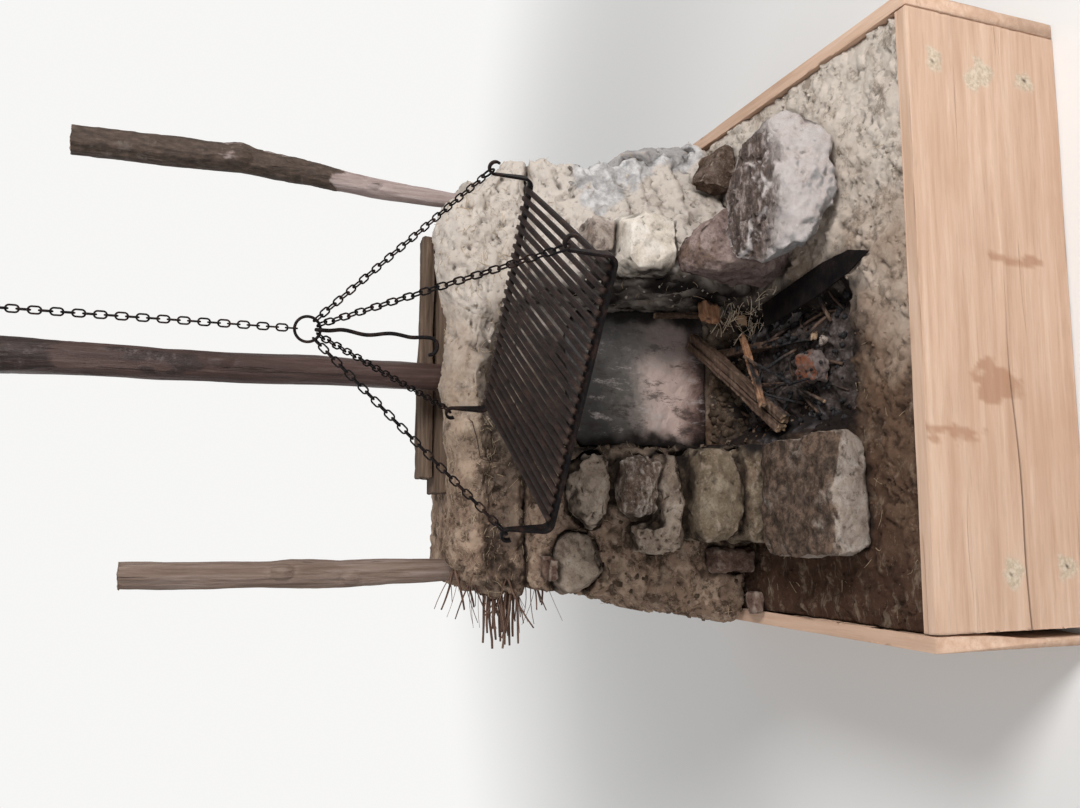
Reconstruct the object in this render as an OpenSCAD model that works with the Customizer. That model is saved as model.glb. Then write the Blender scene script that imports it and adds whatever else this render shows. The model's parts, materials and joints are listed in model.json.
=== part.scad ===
// Raised open hearth of a traditional house: a clay bed in a timber kerb, stone and cob
// cheeks, a fireback stone, a cob mantel with three poles, and a gridiron on chains.
// X runs to the right, Y to the back and Z up. The origin is on the ground, in the middle
// of the kerb. A depth is measured backwards from the face of the front board.

/* [Kerb] */
// Width of the clay bed, which is the length of the front board
kerb_w = 1100; // [1060:10:1200]
// Depth of the kerb, over the front and back boards
kerb_d = 1200; // [1160:10:1400]
// Height of the boards above the ground
kerb_h = 353; // [250:1:500]
// Thickness of the boards
board_t = 31; // [20:1:50]
// Gap between a board and the clay behind it
bed_gap = 0.3; // [0.1:0.1:1]

/* [Fire pit] */
// Depth of the front lip of the pit
pit_front = 180; // [150:5:260]
// Length of the pit, from its lip to the fireback
pit_l = 500; // [420:5:510]
// Width of the pit between the cheeks
pit_w = 310; // [200:5:320]
// How far the pit is sunk in the bed
pit_sink = 60; // [20:5:120]
// How far the sides of the pit lean in at its floor
pit_slope = 45; // [10:5:80]

/* [Firebox] */
// Place of the inner face of the left cheek
cheek_left = -202; // [-230:1:-190]
// Place of the inner face of the right cheek
cheek_right = 137; // [130:1:170]
// Depth of the face of the fireback
fireback_d = 707; // [695:1:720]
// Thickness of the fireback slab
fireback_t = 48; // [30:1:50]
// Height of the fireback slab
fireback_h = 352; // [250:1:400]
// Lean of the fireback slab, in degrees
fireback_lean = 3; // [0:0.5:4]
// Height of the cheeks above the bed, where the mantel rests on them
cheek_h = 447; // [440:1:520]
// Rise of the arch under the mantel, above the cheeks
arch_rise = 92; // [30:1:100]

/* [Masonry] */
// Mortar joint between two stones
joint = 0.3; // [0.2:0.1:2]
// Size of the squared block at the left: width, depth, height
left_block_size = [232, 246, 86]; // [60:1:260]
// Size of the base stone behind the block
left_base_size = [208, 168, 84]; // [60:1:220]
// Size of the olive stone on the base stone
left_olive_size = [206, 172, 112]; // [60:1:220]
// Size of the split stone on the olive stone
left_split_size = [214, 150, 100]; // [40:1:220]
// Size of the flaky stone on the split stone
left_flaky_size = [136, 118, 72]; // [40:1:180]
// Size of the grey stone at the top of the left cheek
left_grey_size = [172, 132, 70]; // [40:1:200]
// Size of the tan stone beside the grey one
left_tan_size = [140, 130, 110]; // [40:1:170]
// Size of the piece of brick on the tan stone
brick_size = [50, 58, 26]; // [20:1:80]
// Size of the upright purple stone at the right
right_purple_size = [158, 140, 214]; // [60:1:260]
// Size of the tan stone on the purple one
right_tan_size = [134, 126, 122]; // [60:1:160]
// Size of the pale stone on the tan one
right_pale_size = [88, 96, 60]; // [40:1:110]
// Overall size of the granite boulder
boulder_size = [312, 150, 184]; // [100:1:340]
// Size of the wedge stone in the outer corner at the right
right_wedge_size = [124, 84, 90]; // [60:1:140]

/* [Mantel] */
// Height of the mantel's crest above the cheeks, in the middle
mantel_h = 175; // [150:1:220]
// Depth of the mantel's front face
mantel_front = 716; // [708:1:740]
// How far the ledge behind the crest reaches in front of the poles' axis
ledge_front = 42; // [37:1:50]
// Depth of the back face of the masonry
masonry_back = 1160; // [1100:5:1190]
// Height of the ledge behind the crest, above the cheeks
ledge_h = 112; // [105:1:130]
// Number of brushwood sticks that stick out of the left end
stick_count = 16; // [4:1:20]
// Diameter of a brushwood stick
stick_d = 8; // [4:0.5:10]

/* [Poles and arm] */
// How far the axis of the three poles stands behind the mantel's front face
pole_d = 176; // [160:1:196]
// How deep a pole's foot stands in the mantel
pole_socket = 95; // [60:5:100]
// Height of the left pole's top above the ground
left_pole_top = 1636; // [1400:1:2000]
// Height of the right pole's top above the ground
right_pole_top = 1771; // [1500:1:2000]
// Height of the arm's axis above the ground
arm_z = 2150; // [2120:1:2180]
// How far the centre pole's top stands above the arm's axis
centre_pole_top = 100; // [70:1:250]
// Diameter of the arm
arm_dia = 58; // [48:1:70]
// Diameter of the arm's tenon through the pole
tenon_dia = 40; // [30:1:44]
// Clearance around a tenon, a peg or a shank
fit = 0.3; // [0.1:0.05:0.6]
// Diameter of the peg behind the pole
peg_dia = 12; // [8:1:16]
// Diameter of the brace under the arm
brace_dia = 42; // [30:1:50]

/* [Chains] */
// Thickness of the wire of a link
link_wire = 3; // [2:0.1:3.4]
// Length of the opening of a link
link_inner = 16; // [12:0.5:24]
// Width of the opening of a link
link_gap = 8; // [7.5:0.5:12]
// Least play between two links
link_play = 0.3; // [0.2:0.05:0.6]
// Number of links in a leg chain, an even number
leg_links = 28; // [24:2:34]
// Outer diameter of the ring
ring_dia = 47; // [42:1:70]
// Thickness of the ring
ring_wire = 5; // [4:0.5:5.5]
// Thickness of the hook under the arm
arm_hook_wire = 6; // [5:0.5:6.5]
// Thickness of the pot hook
pot_hook_wire = 7; // [5:0.5:9]
// Length of the pot hook, from the ring to its lowest point
pot_hook_l = 205; // [150:5:240]

/* [Gridiron] */
// Length of the gridiron along its rails
grill_l = 500; // [420:5:540]
// Width of the gridiron along its bars
grill_w = 470; // [380:5:500]
// Height of the underside of the rails above the ground
grill_z = 918; // [900:1:1000]
// How far the gridiron is turned about the chain, in degrees
grill_yaw = -33.8; // [-45:0.1:-20]
// Place of the chain's axis from the middle of the hearth
chain_x = -47; // [-70:1:-20]
// Depth of the chain's axis
chain_d = 330; // [300:1:340]
// Width of a rail's flat bar
rail_w = 24; // [18:1:30]
// Thickness of a rail's flat bar
rail_t = 5; // [3:0.5:6]
// Width of a rail at its hooks
hook_w = 9; // [6:0.5:9.5]
// Height of the upright at a corner, from the rail to the curl
upright_h = 72; // [40:1:100]
// Inner radius of the curl of a corner hook
curl_r = 9; // [7:0.5:14]
// Number of bars
bar_count = 25; // [15:1:29]
// Thickness of a bar
bar_t = 9; // [6:0.5:10]
// Distance from a rail's end to the first bar
bar_inset = 22; // [16:1:40]

/* [Fire] */
// Length of the blade-shaped iron at the fire's edge
blade_l = 347; // [300:1:420]
// Width of the blade-shaped iron
blade_w = 58; // [40:1:70]
// Thickness of the blade-shaped iron
blade_t = 6; // [3:0.5:10]
// Side of the longest split sticks
split_side = 26; // [16:1:34]
// Side of a kindling stick
kindling_side = 16; // [10:1:20]

/* [Hidden] */

stone_facets = 12;
pole_sides = 14;
front_y = -kerb_d / 2;
bed_top = kerb_h;
cheek_top = bed_top + cheek_h;
crest_z = cheek_top + mantel_h;
ledge_z = cheek_top + ledge_h;
pole_axis = mantel_front + pole_d;
ledge_edge = pole_axis - ledge_front;
bed_half = kerb_w / 2 - bed_gap;
pit_x = (cheek_left + cheek_right) / 2;

// Heights at which the stones of a cheek stand, each on the one below; the flaky stone
// stands on the low part of the split stone
split_shelf = 0.52;
base_z = bed_top + joint;
olive_z = base_z + left_base_size.z + joint;
split_z = olive_z + left_olive_size.z + joint;
flaky_z = split_z + split_shelf * left_split_size.z + joint;
grey_z = flaky_z + left_flaky_size.z + joint;
tan_z = 655 - 353 + bed_top;
brick_z = tan_z + left_tan_size.z + joint;
right_tan_z = base_z + right_purple_size.z + joint;
right_pale_z = right_tan_z + right_tan_size.z + joint;

// A place given by its distance to the right, its depth and its height
function place(x, d, z) = [x, front_y + d, z];
module at(x, d, z) translate(place(x, d, z)) children();

function unit(v) = v / norm(v);

// Turns Z to the direction of up, and X as near as can be to the direction of side
module aim(p, up, side) {
    w = unit(up);
    u = unit(side - (side * w) * w);
    v = cross(w, u);
    multmatrix([[u.x, v.x, w.x, p.x], [u.y, v.y, w.y, p.y], [u.z, v.z, w.z, p.z]])
        children();
}

// A solid through closed rings of points, each ring with as many points as the next
module loft(rings) {
    n = len(rings[0]);
    m = len(rings);
    polyhedron(
        points = [for (ring = rings) each ring],
        faces = [
            [for (i = [0:n - 1]) i],
            for (k = [0:m - 2])
                for (i = [0:n - 1])
                    [k * n + i, (k + 1) * n + (i + 1) % n, k * n + (i + 1) % n],
            for (k = [0:m - 2])
                for (i = [0:n - 1])
                    [k * n + i, (k + 1) * n + i, (k + 1) * n + (i + 1) % n],
            [for (i = [n - 1:-1:0]) (m - 1) * n + i]
        ]);
}

// Three points that round the corner b between its neighbours a and c
function rounded(a, b, c, r) =
    let (u = unit(a - b), w = unit(c - b)) [b + r * u, b + 0.29 * r * (u + w), b + r * w];

// A level ring with four rounded corners, each given as [x, depth]
function level_ring(z, p, r) =
    [for (i = [0:3]) each [for (q = rounded(p[(i + 3) % 4], p[i], p[(i + 1) % 4], r))
        place(q.x, q.y, z)]];

// How far a facetted ball of a radius reaches
function ball_reach(r) = r * cos(180 / stone_facets);

// A rounded stone with a flat foot: its corners are uneven, by the seed, and the front
// of its top is lower than the back
module stone(size, seed, round = 18, least = 0.8, grow = 0) {
    jitter = rands(least, 1, 24, seed);
    inset = ball_reach(round);
    hull()
        for (k = [0:7]) {
            side = [k % 2 * 2 - 1, floor(k / 2) % 2 * 2 - 1, floor(k / 4) * 2 - 1];
            top = k == 4 || k == 5 ? jitter[3 * k + 2] : 1;
            translate([side.x * jitter[3 * k] * (size.x / 2 - inset),
                side.y * jitter[3 * k + 1] * (size.y / 2 - inset),
                size.z / 2 + side.z * top * (size.z / 2 - inset)])
                sphere(r = round + grow, $fn = stone_facets);
        }
}

// A stone through knobs with a flat foot. A knob is given by shares: from the middle to
// the right and to the back of -0.5 to 0.5, and of the height from 0 to 1
module knobbly(size, knobs, round = 14, grow = 0) {
    inset = ball_reach(round);
    hull()
        for (k = knobs)
            translate([k.x * (size.x - 2 * inset), k.y * (size.y - 2 * inset),
                inset + k.z * (size.z - 2 * inset)])
                sphere(r = round + grow, $fn = stone_facets);
}

// Kerb boards

// Front board, between the two side boards
module front_board()
    color("burlywood")
    at(-kerb_w / 2, 0, 0)
    cube([kerb_w, board_t, kerb_h]);

// Side board, as long as the kerb is deep
module side_board(x)
    color("peru")
    at(x, 0, 0)
    cube([board_t, kerb_d, kerb_h]);

module left_board() side_board(-kerb_w / 2 - board_t);
module right_board() side_board(kerb_w / 2);

module back_board()
    color("burlywood")
    at(-kerb_w / 2, kerb_d - board_t, 0)
    cube([kerb_w, board_t, kerb_h]);

// Clay bed

// Outline of the pit, drawn in by an inset
module pit_outline(inset)
    offset(r = 40)
    offset(delta = -40 - inset)
    translate([-pit_w / 2, 0])
    square([pit_w, pit_l]);

module clay_bed()
    color("rosybrown")
    difference() {
        at(-bed_half, board_t + bed_gap, 0)
            cube([2 * bed_half, kerb_d - 2 * (board_t + bed_gap), bed_top]);
        at(pit_x, pit_front, bed_top - pit_sink)
            hull() {
                linear_extrude(1) pit_outline(pit_slope);
                translate([0, 0, pit_sink]) linear_extrude(1) pit_outline(0);
            }
    }

// Height of the pit's side at a distance in from its edge
function slope_z(inset) = bed_top - (pit_sink - 1) * inset / pit_slope;

// Left cheek

module left_block_shape(grow = 0)
    at(-315, 262, base_z)
    rotate([0, 0, 1.5])
    stone(left_block_size, 11, round = 13, least = 0.93, grow = grow);

module left_base_shape(grow = 0)
    at(cheek_left - left_base_size.x / 2, 478, base_z)
    stone(left_base_size, 4, round = 16, least = 0.9, grow = grow);

module left_olive_shape(grow = 0)
    at(cheek_left - left_olive_size.x / 2, 478, olive_z)
    stone(left_olive_size, 9, round = 30, least = 0.82, grow = grow);

// Split stone: a slab that runs out to the right, and a knob on its left end
module left_split_shape(grow = 0) {
    s = left_split_size;
    at(-324, 512, split_z) {
        knobbly([s.x, s.y, split_shelf * s.z], [[-0.46, -0.30, 0], [-0.30, -0.50, 0.2],
            [0.10, -0.44, 0], [0.50, -0.20, 0.5], [0.50, 0.50, 0.3], [-0.50, 0.50, 0],
            [-0.50, 0.40, 1], [-0.40, -0.42, 0.9], [0.00, -0.36, 1], [0.36, -0.10, 1],
            [0.40, 0.46, 1]], round = 9, grow = grow);
        translate([-0.33 * s.x, 0.04 * s.y, 0])
            knobbly([0.34 * s.x, 0.86 * s.y, s.z], [[-0.40, -0.44, 0.2], [0.30, -0.50, 0.3],
                [-0.50, 0.50, 0.2], [0.50, 0.44, 0.2], [-0.50, -0.28, 0.72],
                [0.02, -0.40, 0.96], [0.20, 0.10, 1], [-0.40, 0.40, 0.92], [0.50, 0.30, 0.66]],
                round = 12, grow = grow);
    }
}

module left_flaky_shape(grow = 0)
    at(-292, 526, flaky_z)
    knobbly(left_flaky_size, [[-0.50, -0.30, 0], [0.36, -0.50, 0], [0.50, 0.30, 0],
        [-0.40, 0.50, 0], [-0.42, -0.44, 0.34], [0.10, -0.50, 0.44], [0.50, -0.30, 0.50],
        [-0.50, 0.00, 0.66], [-0.36, -0.14, 1], [0.20, -0.10, 1], [0.42, 0.24, 1],
        [-0.34, 0.46, 1]], round = 8, grow = grow);

grey_x = -292;
tan_x = grey_x - (left_grey_size.x + left_tan_size.x) / 2 - 4;

module left_grey_shape(grow = 0)
    at(grey_x, 612, grey_z)
    knobbly(left_grey_size, [[-0.42, -0.46, 0], [0.36, -0.50, 0], [0.50, -0.20, 0],
        [0.44, 0.50, 0], [-0.50, 0.44, 0], [-0.50, -0.30, 0.40], [-0.36, -0.40, 0.84],
        [0.50, -0.34, 0.26], [-0.16, -0.26, 1], [0.08, 0.10, 1], [0.36, -0.10, 0.62],
        [-0.30, 0.40, 1], [0.30, 0.44, 0.80]], round = 16, grow = grow);

module left_tan_shape(grow = 0)
    at(tan_x, 678, tan_z)
    knobbly(left_tan_size, [[-0.16, -0.42, 0], [0.30, -0.34, 0], [0.36, 0.40, 0],
        [-0.24, 0.44, 0], [-0.50, -0.34, 0.46], [0.20, -0.50, 0.30], [0.50, -0.26, 0.34],
        [-0.44, -0.44, 0.84], [0.44, -0.40, 0.90], [-0.50, 0.40, 0.80], [0.50, 0.46, 0.76],
        [-0.30, -0.14, 1], [0.26, -0.20, 1], [0.10, 0.40, 1]], round = 15, grow = grow);

module brick_shape(grow = 0)
    at(tan_x - 12, 652, brick_z)
    rotate([0, 0, -8])
    stone(brick_size, 61, round = 3, least = 0.9, grow = grow);

module left_foot_shape(grow = 0) {
    at(-444, 534, base_z)
        stone([58, 58, 104], 71, round = 15, least = 0.8, grow = grow);
    at(-534, 500, base_z)
        stone([52, 44, 32], 74, round = 11, least = 0.8, grow = grow);
}

module left_block() color("dimgray") left_block_shape();
module left_base_stone() color("darkkhaki") left_base_shape();
module left_olive_stone() color("darkkhaki") left_olive_shape();
module left_split_stone() color("rosybrown") left_split_shape();
module left_flaky_stone() color("lightgray") left_flaky_shape();
module left_grey_stone() color("tan") left_grey_shape();
module left_tan_stone() color("tan") left_tan_shape();
module left_small_stones()
    color("rosybrown") {
        left_foot_shape();
        brick_shape();
    }

module left_stones(grow = 0) {
    left_base_shape(grow);
    left_olive_shape(grow);
    left_split_shape(grow);
    left_flaky_shape(grow);
    left_grey_shape(grow);
    left_tan_shape(grow);
    brick_shape(grow);
    left_foot_shape(grow);
}

// Level sections of the cob behind the left stones, which swells at each course: height
// above the bed, and the left and the right front corner as [x, depth]
left_cob_sections = [
    [0.3, [-568, 566], [cheek_left, 503]], [34, [-578, 552], [cheek_left, 494]],
    [74, [-572, 560], [cheek_left, 496]], [98, [-560, 580], [cheek_left, 512]],
    [134, [-568, 566], [cheek_left, 500]], [170, [-556, 578], [cheek_left, 510]],
    [192, [-540, 602], [cheek_left, 532]], [230, [-546, 590], [cheek_left, 528]],
    [268, [-528, 612], [cheek_left, 552]], [286, [-514, 634], [cheek_left, 576]],
    [324, [-524, 624], [cheek_left, 584]], [362, [-506, 656], [cheek_left, 622]],
    [400, [-516, 662], [cheek_left, 640]], [cheek_h, [-500, 702], [cheek_left, 692]]];

module cob_mass(sections)
    loft([for (s = sections)
        level_ring(bed_top + s[0],
            [s[1], s[2], [s[2].x, masonry_back], [s[1].x, masonry_back]], 26)]);

module left_cob_wall()
    color("tan")
    difference() {
        cob_mass(left_cob_sections);
        left_stones(joint);
    }

// Right cheek

// Upright stone whose top falls away to the right
module right_purple_shape(grow = 0)
    at(cheek_right + right_purple_size.x / 2, 408, base_z)
    knobbly(right_purple_size, [[-0.46, -0.44, 0], [0.44, -0.50, 0], [0.50, 0.44, 0],
        [-0.50, 0.50, 0], [-0.38, -0.30, 0.44], [0.36, -0.46, 0.40], [0.50, -0.10, 0.56],
        [-0.40, -0.40, 0.88], [0.14, -0.36, 0.84], [-0.32, -0.08, 1], [-0.02, 0.06, 1],
        [-0.40, 0.44, 1], [0.04, 0.46, 1], [0.44, 0.40, 0.66]], round = 15, grow = grow);

module right_tan_shape(grow = 0)
    at(cheek_right + 10 + right_tan_size.x / 2, 488, right_tan_z)
    stone(right_tan_size, 93, round = 10, least = 0.9, grow = grow);

module right_pale_shape(grow = 0)
    at(230, 526, right_pale_z)
    stone(right_pale_size, 102, round = 10, least = 0.82, grow = grow);

// Granite boulder: an upright broad stone, its foot narrow and its front leaning out
module boulder_shape(grow = 0)
    at(292, 258, base_z)
    knobbly(boulder_size, [[-0.10, -0.42, 0], [0.18, -0.50, 0], [0.42, -0.34, 0.06],
        [-0.30, 0.40, 0], [0.40, 0.46, 0], [0.50, -0.12, 0.40], [0.44, 0.10, 0.68],
        [0.26, 0.36, 0.82], [0.02, 0.50, 0.92], [-0.28, 0.50, 1], [-0.46, 0.44, 0.94],
        [-0.50, 0.10, 0.60], [-0.44, -0.20, 0.44], [-0.26, -0.42, 0.18],
        [-0.26, -0.16, 0.78], [0.14, -0.30, 0.64]], round = 14, grow = grow);

// Wedge-shaped stone: a level foot and a ridge near its left end
module wedge_shape(grow = 0)
    at(450, 590, base_z)
    hull() {
        s = right_wedge_size;
        r = 8;
        for (x = [-1, 1])
            for (y = [-1, 1])
                translate([x * (s.x / 2 - r), y * (s.y / 2 - r), ball_reach(r)])
                    sphere(r = r + grow, $fn = stone_facets);
        for (k = [[-0.30, -0.10], [0.04, 0.20], [-0.20, 0.38]])
            translate([k.x * s.x, k.y * s.y, s.z - r])
                sphere(r = r + grow, $fn = stone_facets);
    }

module right_outer_shape(grow = 0) {
    at(474, 718, bed_top + 34)
        knobbly([146, 100, 236], [[-0.30, -0.40, 0], [0.44, -0.44, 0], [0.40, 0.40, 0],
            [-0.10, 0.44, 0], [0.50, -0.30, 0.16], [-0.40, -0.50, 0.36], [0.20, -0.50, 0.56],
            [-0.50, -0.20, 0.80], [0.14, -0.20, 0.86], [-0.44, -0.20, 1], [-0.04, -0.10, 1],
            [-0.40, 0.40, 1], [0.10, 0.50, 0.70]], round = 16, grow = grow);
    at(398, 716, bed_top + 305)
        stone([106, 90, 80], 127, round = 20, least = 0.8, grow = grow);
}

module right_boulder() color("mistyrose") boulder_shape();
module right_purple_stone() color("rosybrown") right_purple_shape();
module right_tan_stone() color("wheat") right_tan_shape();
module right_pale_stone() color("lightgray") right_pale_shape();
module right_wedge_stone() color("peru") wedge_shape();
module right_outer_stones() color("lightslategray") right_outer_shape();

// Level sections of the cob at the right, in the same form as at the left
right_cob_sections = [
    [0.3, [cheek_right, 500], [550, 694]], [40, [cheek_right, 500], [552, 680]],
    [92, [cheek_right, 500], [530, 684]], [130, [cheek_right, 500], [526, 670]],
    [172, [cheek_right + 2, 500], [500, 684]], [206, [cheek_right + 2, 500], [494, 664]],
    [246, [cheek_right + 4, 502], [466, 678]], [284, [cheek_right + 4, 514], [466, 662]],
    [320, [cheek_right + 4, 528], [446, 674]], [352, [cheek_right + 4, 556], [460, 670]],
    [390, [cheek_right + 4, 590], [458, 694]], [418, [cheek_right + 4, 618], [474, 690]],
    [cheek_h, [cheek_right + 4, 650], [464, 706]]];

module right_cob_wall()
    color("wheat")
    difference() {
        cob_mass(right_cob_sections);
        right_purple_shape(joint);
        right_tan_shape(joint);
        right_pale_shape(joint);
        wedge_shape(joint);
        right_outer_shape(joint);
    }

// Fireback and the cob behind it

back_gap = 0.3;
slab_proud = 8;

// The slab's own frame: Y runs through it, from its middle to the back
module fireback_frame()
    at(pit_x, fireback_d + fireback_t / 2, base_z + fireback_t / 2 * sin(fireback_lean))
    rotate([-fireback_lean, 0, 0])
    children();

// Front outline of the slab, as [x, height]
module fireback_outline() {
    w = (cheek_right - cheek_left) / 2 - 4;
    polygon([[-w, 0], [w, 0], [w - 4, 0.55 * fireback_h], [w - 14, 0.93 * fireback_h],
        [0.55 * w, fireback_h], [-0.2 * w, 0.985 * fireback_h],
        [-0.8 * w, 0.97 * fireback_h], [-w + 3, 0.88 * fireback_h],
        [-w + 8, 0.4 * fireback_h]]);
}

module fireback_shape(grow = 0)
    fireback_frame()
    translate([0, fireback_t / 2 + grow, 0])
    rotate([90, 0, 0])
    linear_extrude(fireback_t + 2 * grow)
    offset(delta = grow)
    fireback_outline();

module fireback_slab() color("gray") fireback_shape();

// The cob behind the slab leans as the slab does, and leaves the slab's face proud
module back_wall()
    color("saddlebrown")
    difference() {
        at(cheek_left + back_gap, fireback_d, base_z)
            cube([cheek_right - cheek_left - 2 * back_gap, masonry_back - fireback_d,
                cheek_h - joint - back_gap]);
        fireback_shape(joint);
        fireback_frame()
            translate([-arch_w, slab_proud - fireback_t / 2 - 100, -100])
            cube([2 * arch_w, 100, 2 * cheek_h]);
    }

// Mantel

// Stations of the mantel from left to right: place, crest above the cheeks, how far the
// front stands back there, and how deep the hollow under its brow is
mantel_stations = [
    [-522, 88, 30, 8], [-492, 130, 12, 16], [-456, mantel_h - 16, 4, 26],
    [-420, mantel_h - 2, 0, 30], [-376, mantel_h - 14, 5, 26], [-330, mantel_h - 18, 8, 34],
    [-280, mantel_h - 10, 1, 30], [-226, mantel_h - 15, 6, 34], [-176, mantel_h - 1, 2, 28],
    [-120, mantel_h - 4, 9, 34], [-70, mantel_h + 8, 3, 30], [-20, mantel_h + 5, 8, 32],
    [34, mantel_h + 3, 4, 24], [80, mantel_h - 4, 10, 16], [118, mantel_h + 2, 4, 8],
    [158, mantel_h + 12, 5, 3], [200, mantel_h + 20, 0, 2], [250, mantel_h + 28, 2, 4],
    [300, mantel_h + 31, 1, 2], [340, mantel_h + 20, 6, 5], [364, mantel_h + 2, 8, 4],
    [388, mantel_h - 44, 16, 4], [430, 92, 20, 4], [462, 50, 28, 2]];

// Upright section of the mantel at one station, from the back over the top to the
// front: the crest, a brow, a hollow and a drooping lip
function mantel_ring(s) =
    let (x = s[0], top = s[1], f = mantel_front + s[2], dip = s[3], low = joint,
        deep = ledge_edge - f)
    [for (q = [[deep, low], [deep, 0.92 * top], [0.69 * deep, 0.99 * top],
        [0.43 * deep, top], [0.19 * deep, 0.94 * top], [6, 0.80 * top],
        [2, 0.66 * top], [7 + 0.6 * dip, 0.54 * top], [3 + dip, 0.42 * top],
        [1 + 0.9 * dip, 0.30 * top], [-3 + 0.5 * dip, 0.16 * top], [8 + 0.5 * dip, low]])
        place(x, f + q.x, cheek_top + q.y)];

// Arch of the firebox under the mantel
arch_w = cheek_right - cheek_left;
arch_back = 800;

module arch_tunnel()
    at(pit_x, arch_back, cheek_top)
    rotate([90, 0, 0])
    linear_extrude(arch_back - 600)
    polygon([[-arch_w / 2, -1],
        for (a = [0:15:180]) [-cos(a) * arch_w / 2, sin(a) * arch_rise],
        [arch_w / 2, -1]]);

module mantel()
    color("tan")
    difference() {
        loft([for (s = mantel_stations) mantel_ring(s)]);
        arch_tunnel();
        left_stones(joint);
        right_pale_shape(joint);
        brushwood_sticks(joint);
    }

// Level ledge behind the crest, with the sockets of the three poles
module mantel_ledge()
    color("tan")
    difference() {
        at(0, 0, cheek_top + joint)
            linear_extrude(ledge_h - joint)
            polygon([[-516, ledge_edge + joint], [452, ledge_edge + joint],
                [460, ledge_edge + 60], [456, masonry_back - 20],
                [430, masonry_back], [-490, masonry_back], [-514, masonry_back - 26]]);
        for (p = pole_feet)
            at(p.x, pole_axis, ledge_z - pole_socket - joint)
                cylinder(r = p.y + fit, h = pole_socket + 10, $fn = 48);
    }

// Brushwood that binds the cob, in rows one above another at the left end
stick_rows = 4;
stick_in = 90;

module brushwood_sticks(grow = 0)
    for (i = [0:stick_count - 1]) {
        row = i % stick_rows;
        column = floor(i / stick_rows);
        lean = rands(-7, 7, 2, i + 5);
        out = rands(70, 130, 1, i + 40)[0];
        at(mantel_stations[0].x + stick_in, ledge_edge - 82 + 19 * column + 5 * (row % 2),
            cheek_top + 14 + 17 * row)
            rotate([0, -90 + lean[0] * 0.3, lean[1] * 0.2])
            cylinder(d = stick_d + 2 * grow, h = stick_in + out, $fn = 8);
    }

module brushwood() color("sienna") brushwood_sticks();

// Poles

// Places across and radii of the tenons on which the poles stand
centre_x = -30;
pole_feet = [[-474, 22], [centre_x, 27], [402, 18]];

// A level ring around a pole
function pole_ring(x, d, z, r) =
    [for (i = [0:pole_sides - 1])
        let (a = 360 / pole_sides * i) place(x + r * cos(a), d + r * sin(a), z)];

// A pole on its tenon, up to a height. A row is [off the axis to the right, off it to
// the back, share of the height, radius]
module pole(foot, top, rows) {
    loft([for (p = rows) pole_ring(foot.x + p[0], pole_axis + p[1],
        pole_low + p[2] * (top - pole_low), p[3])]);
    at(foot.x, pole_axis, ledge_z - pole_socket)
        cylinder(r = foot.y, h = pole_socket + 2, $fn = 48);
}

pole_low = ledge_z + joint;
centre_top_r = 42;

module left_pole()
    color("rosybrown")
    pole(pole_feet[0], left_pole_top, [[0, 0, 0, 28], [-1, 0, 0.10, 29], [-4, 3, 0.37, 31],
        [-1, 0, 0.52, 34], [-3, -3, 0.58, 32], [-2, 0, 1, 34]]);

module right_pole()
    color("saddlebrown")
    pole(pole_feet[2], right_pole_top, [[0, 0, 0, 23], [2, 0, 0.08, 24], [10, 3, 0.22, 26],
        [22, 2, 0.39, 28], [38, 0, 0.56, 31], [44, -2, 0.60, 35], [40, 0, 0.68, 33],
        [34, 0, 1, 35]]);

module centre_pole()
    color("brown")
    difference() {
        pole(pole_feet[1], arm_z + centre_pole_top, [[0, 0, 0, 33], [0, 0, 0.05, 33],
            [3, 2, 0.25, 36], [-2, -2, 0.48, 38], [0, 0, 0.70, 41], [0, 0, 1, centre_top_r]]);
        rotate_about_pole()
            at(centre_x, pole_axis + centre_top_r + 5, arm_z)
            rotate([90, 0, 0])
            cylinder(d = tenon_dia + 2 * fit, h = 2 * centre_top_r + 10, $fn = 48);
    }

// Split logs that lie on the ledge behind the poles
log_r = 46;
log_d = pole_axis + 118;
slab_h = 34;

module shelf_logs()
    color("burlywood") {
        at(-298, log_d, ledge_z + joint)
            rotate([90, 0, 90])
            linear_extrude(615)
            intersection() {
                circle(r = log_r, $fn = 24);
                translate([-log_r, 0]) square([2 * log_r, 40]);
            }
        at(-262, log_d - 40, ledge_z + 40 + 2 * joint)
            rotate([90, 0, 90])
            linear_extrude(600)
            polygon([[0, 0], [86, 0], [82, slab_h - 12], [60, slab_h], [14, slab_h],
                [2, slab_h - 8]]);
    }

// Arm

arm_front = chain_d - 60;
arm_r = arm_dia / 2;
arm_x = centre_x;
hook_x = chain_x;
peg_d = pole_axis + centre_top_r + peg_dia / 2 + 1;
tenon_back = peg_d + 30;
arm_slant = atan2(hook_x - arm_x, pole_axis - chain_d);

module arm_axis()
    at(arm_x, pole_axis, arm_z)
    rotate([90, 0, 0])
    children();

module arm_body()
    arm_axis() {
        translate([0, 0, centre_top_r + fit])
            cylinder(d = arm_dia, h = pole_axis - arm_front - centre_top_r, $fn = 48);
        translate([0, 0, pole_axis - tenon_back])
            cylinder(d = tenon_dia, h = tenon_back - pole_axis + centre_top_r + 1, $fn = 48);
    }

module peg(dia)
    at(arm_x, peg_d, arm_z - tenon_dia)
    cylinder(d = dia, h = 2 * tenon_dia, $fn = 32);

// The arm with the peg that holds its tenon behind the pole
module hanging_arm()
    color("sienna") {
        difference() {
            rotate_about_pole() arm_body();
            rotate_about_pole() peg(peg_dia + 2 * fit);
            at(hook_x, shank_d, arm_z - arm_dia)
                cylinder(d = arm_hook_wire + 2 * fit, h = 2 * arm_dia, $fn = 32);
        }
        rotate_about_pole() peg(peg_dia);
    }

// The arm is turned a little about the pole, so that it ends over the chain
module rotate_about_pole()
    translate(place(arm_x, pole_axis, 0))
    rotate([0, 0, arm_slant])
    translate(-place(arm_x, pole_axis, 0))
    children();

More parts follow.
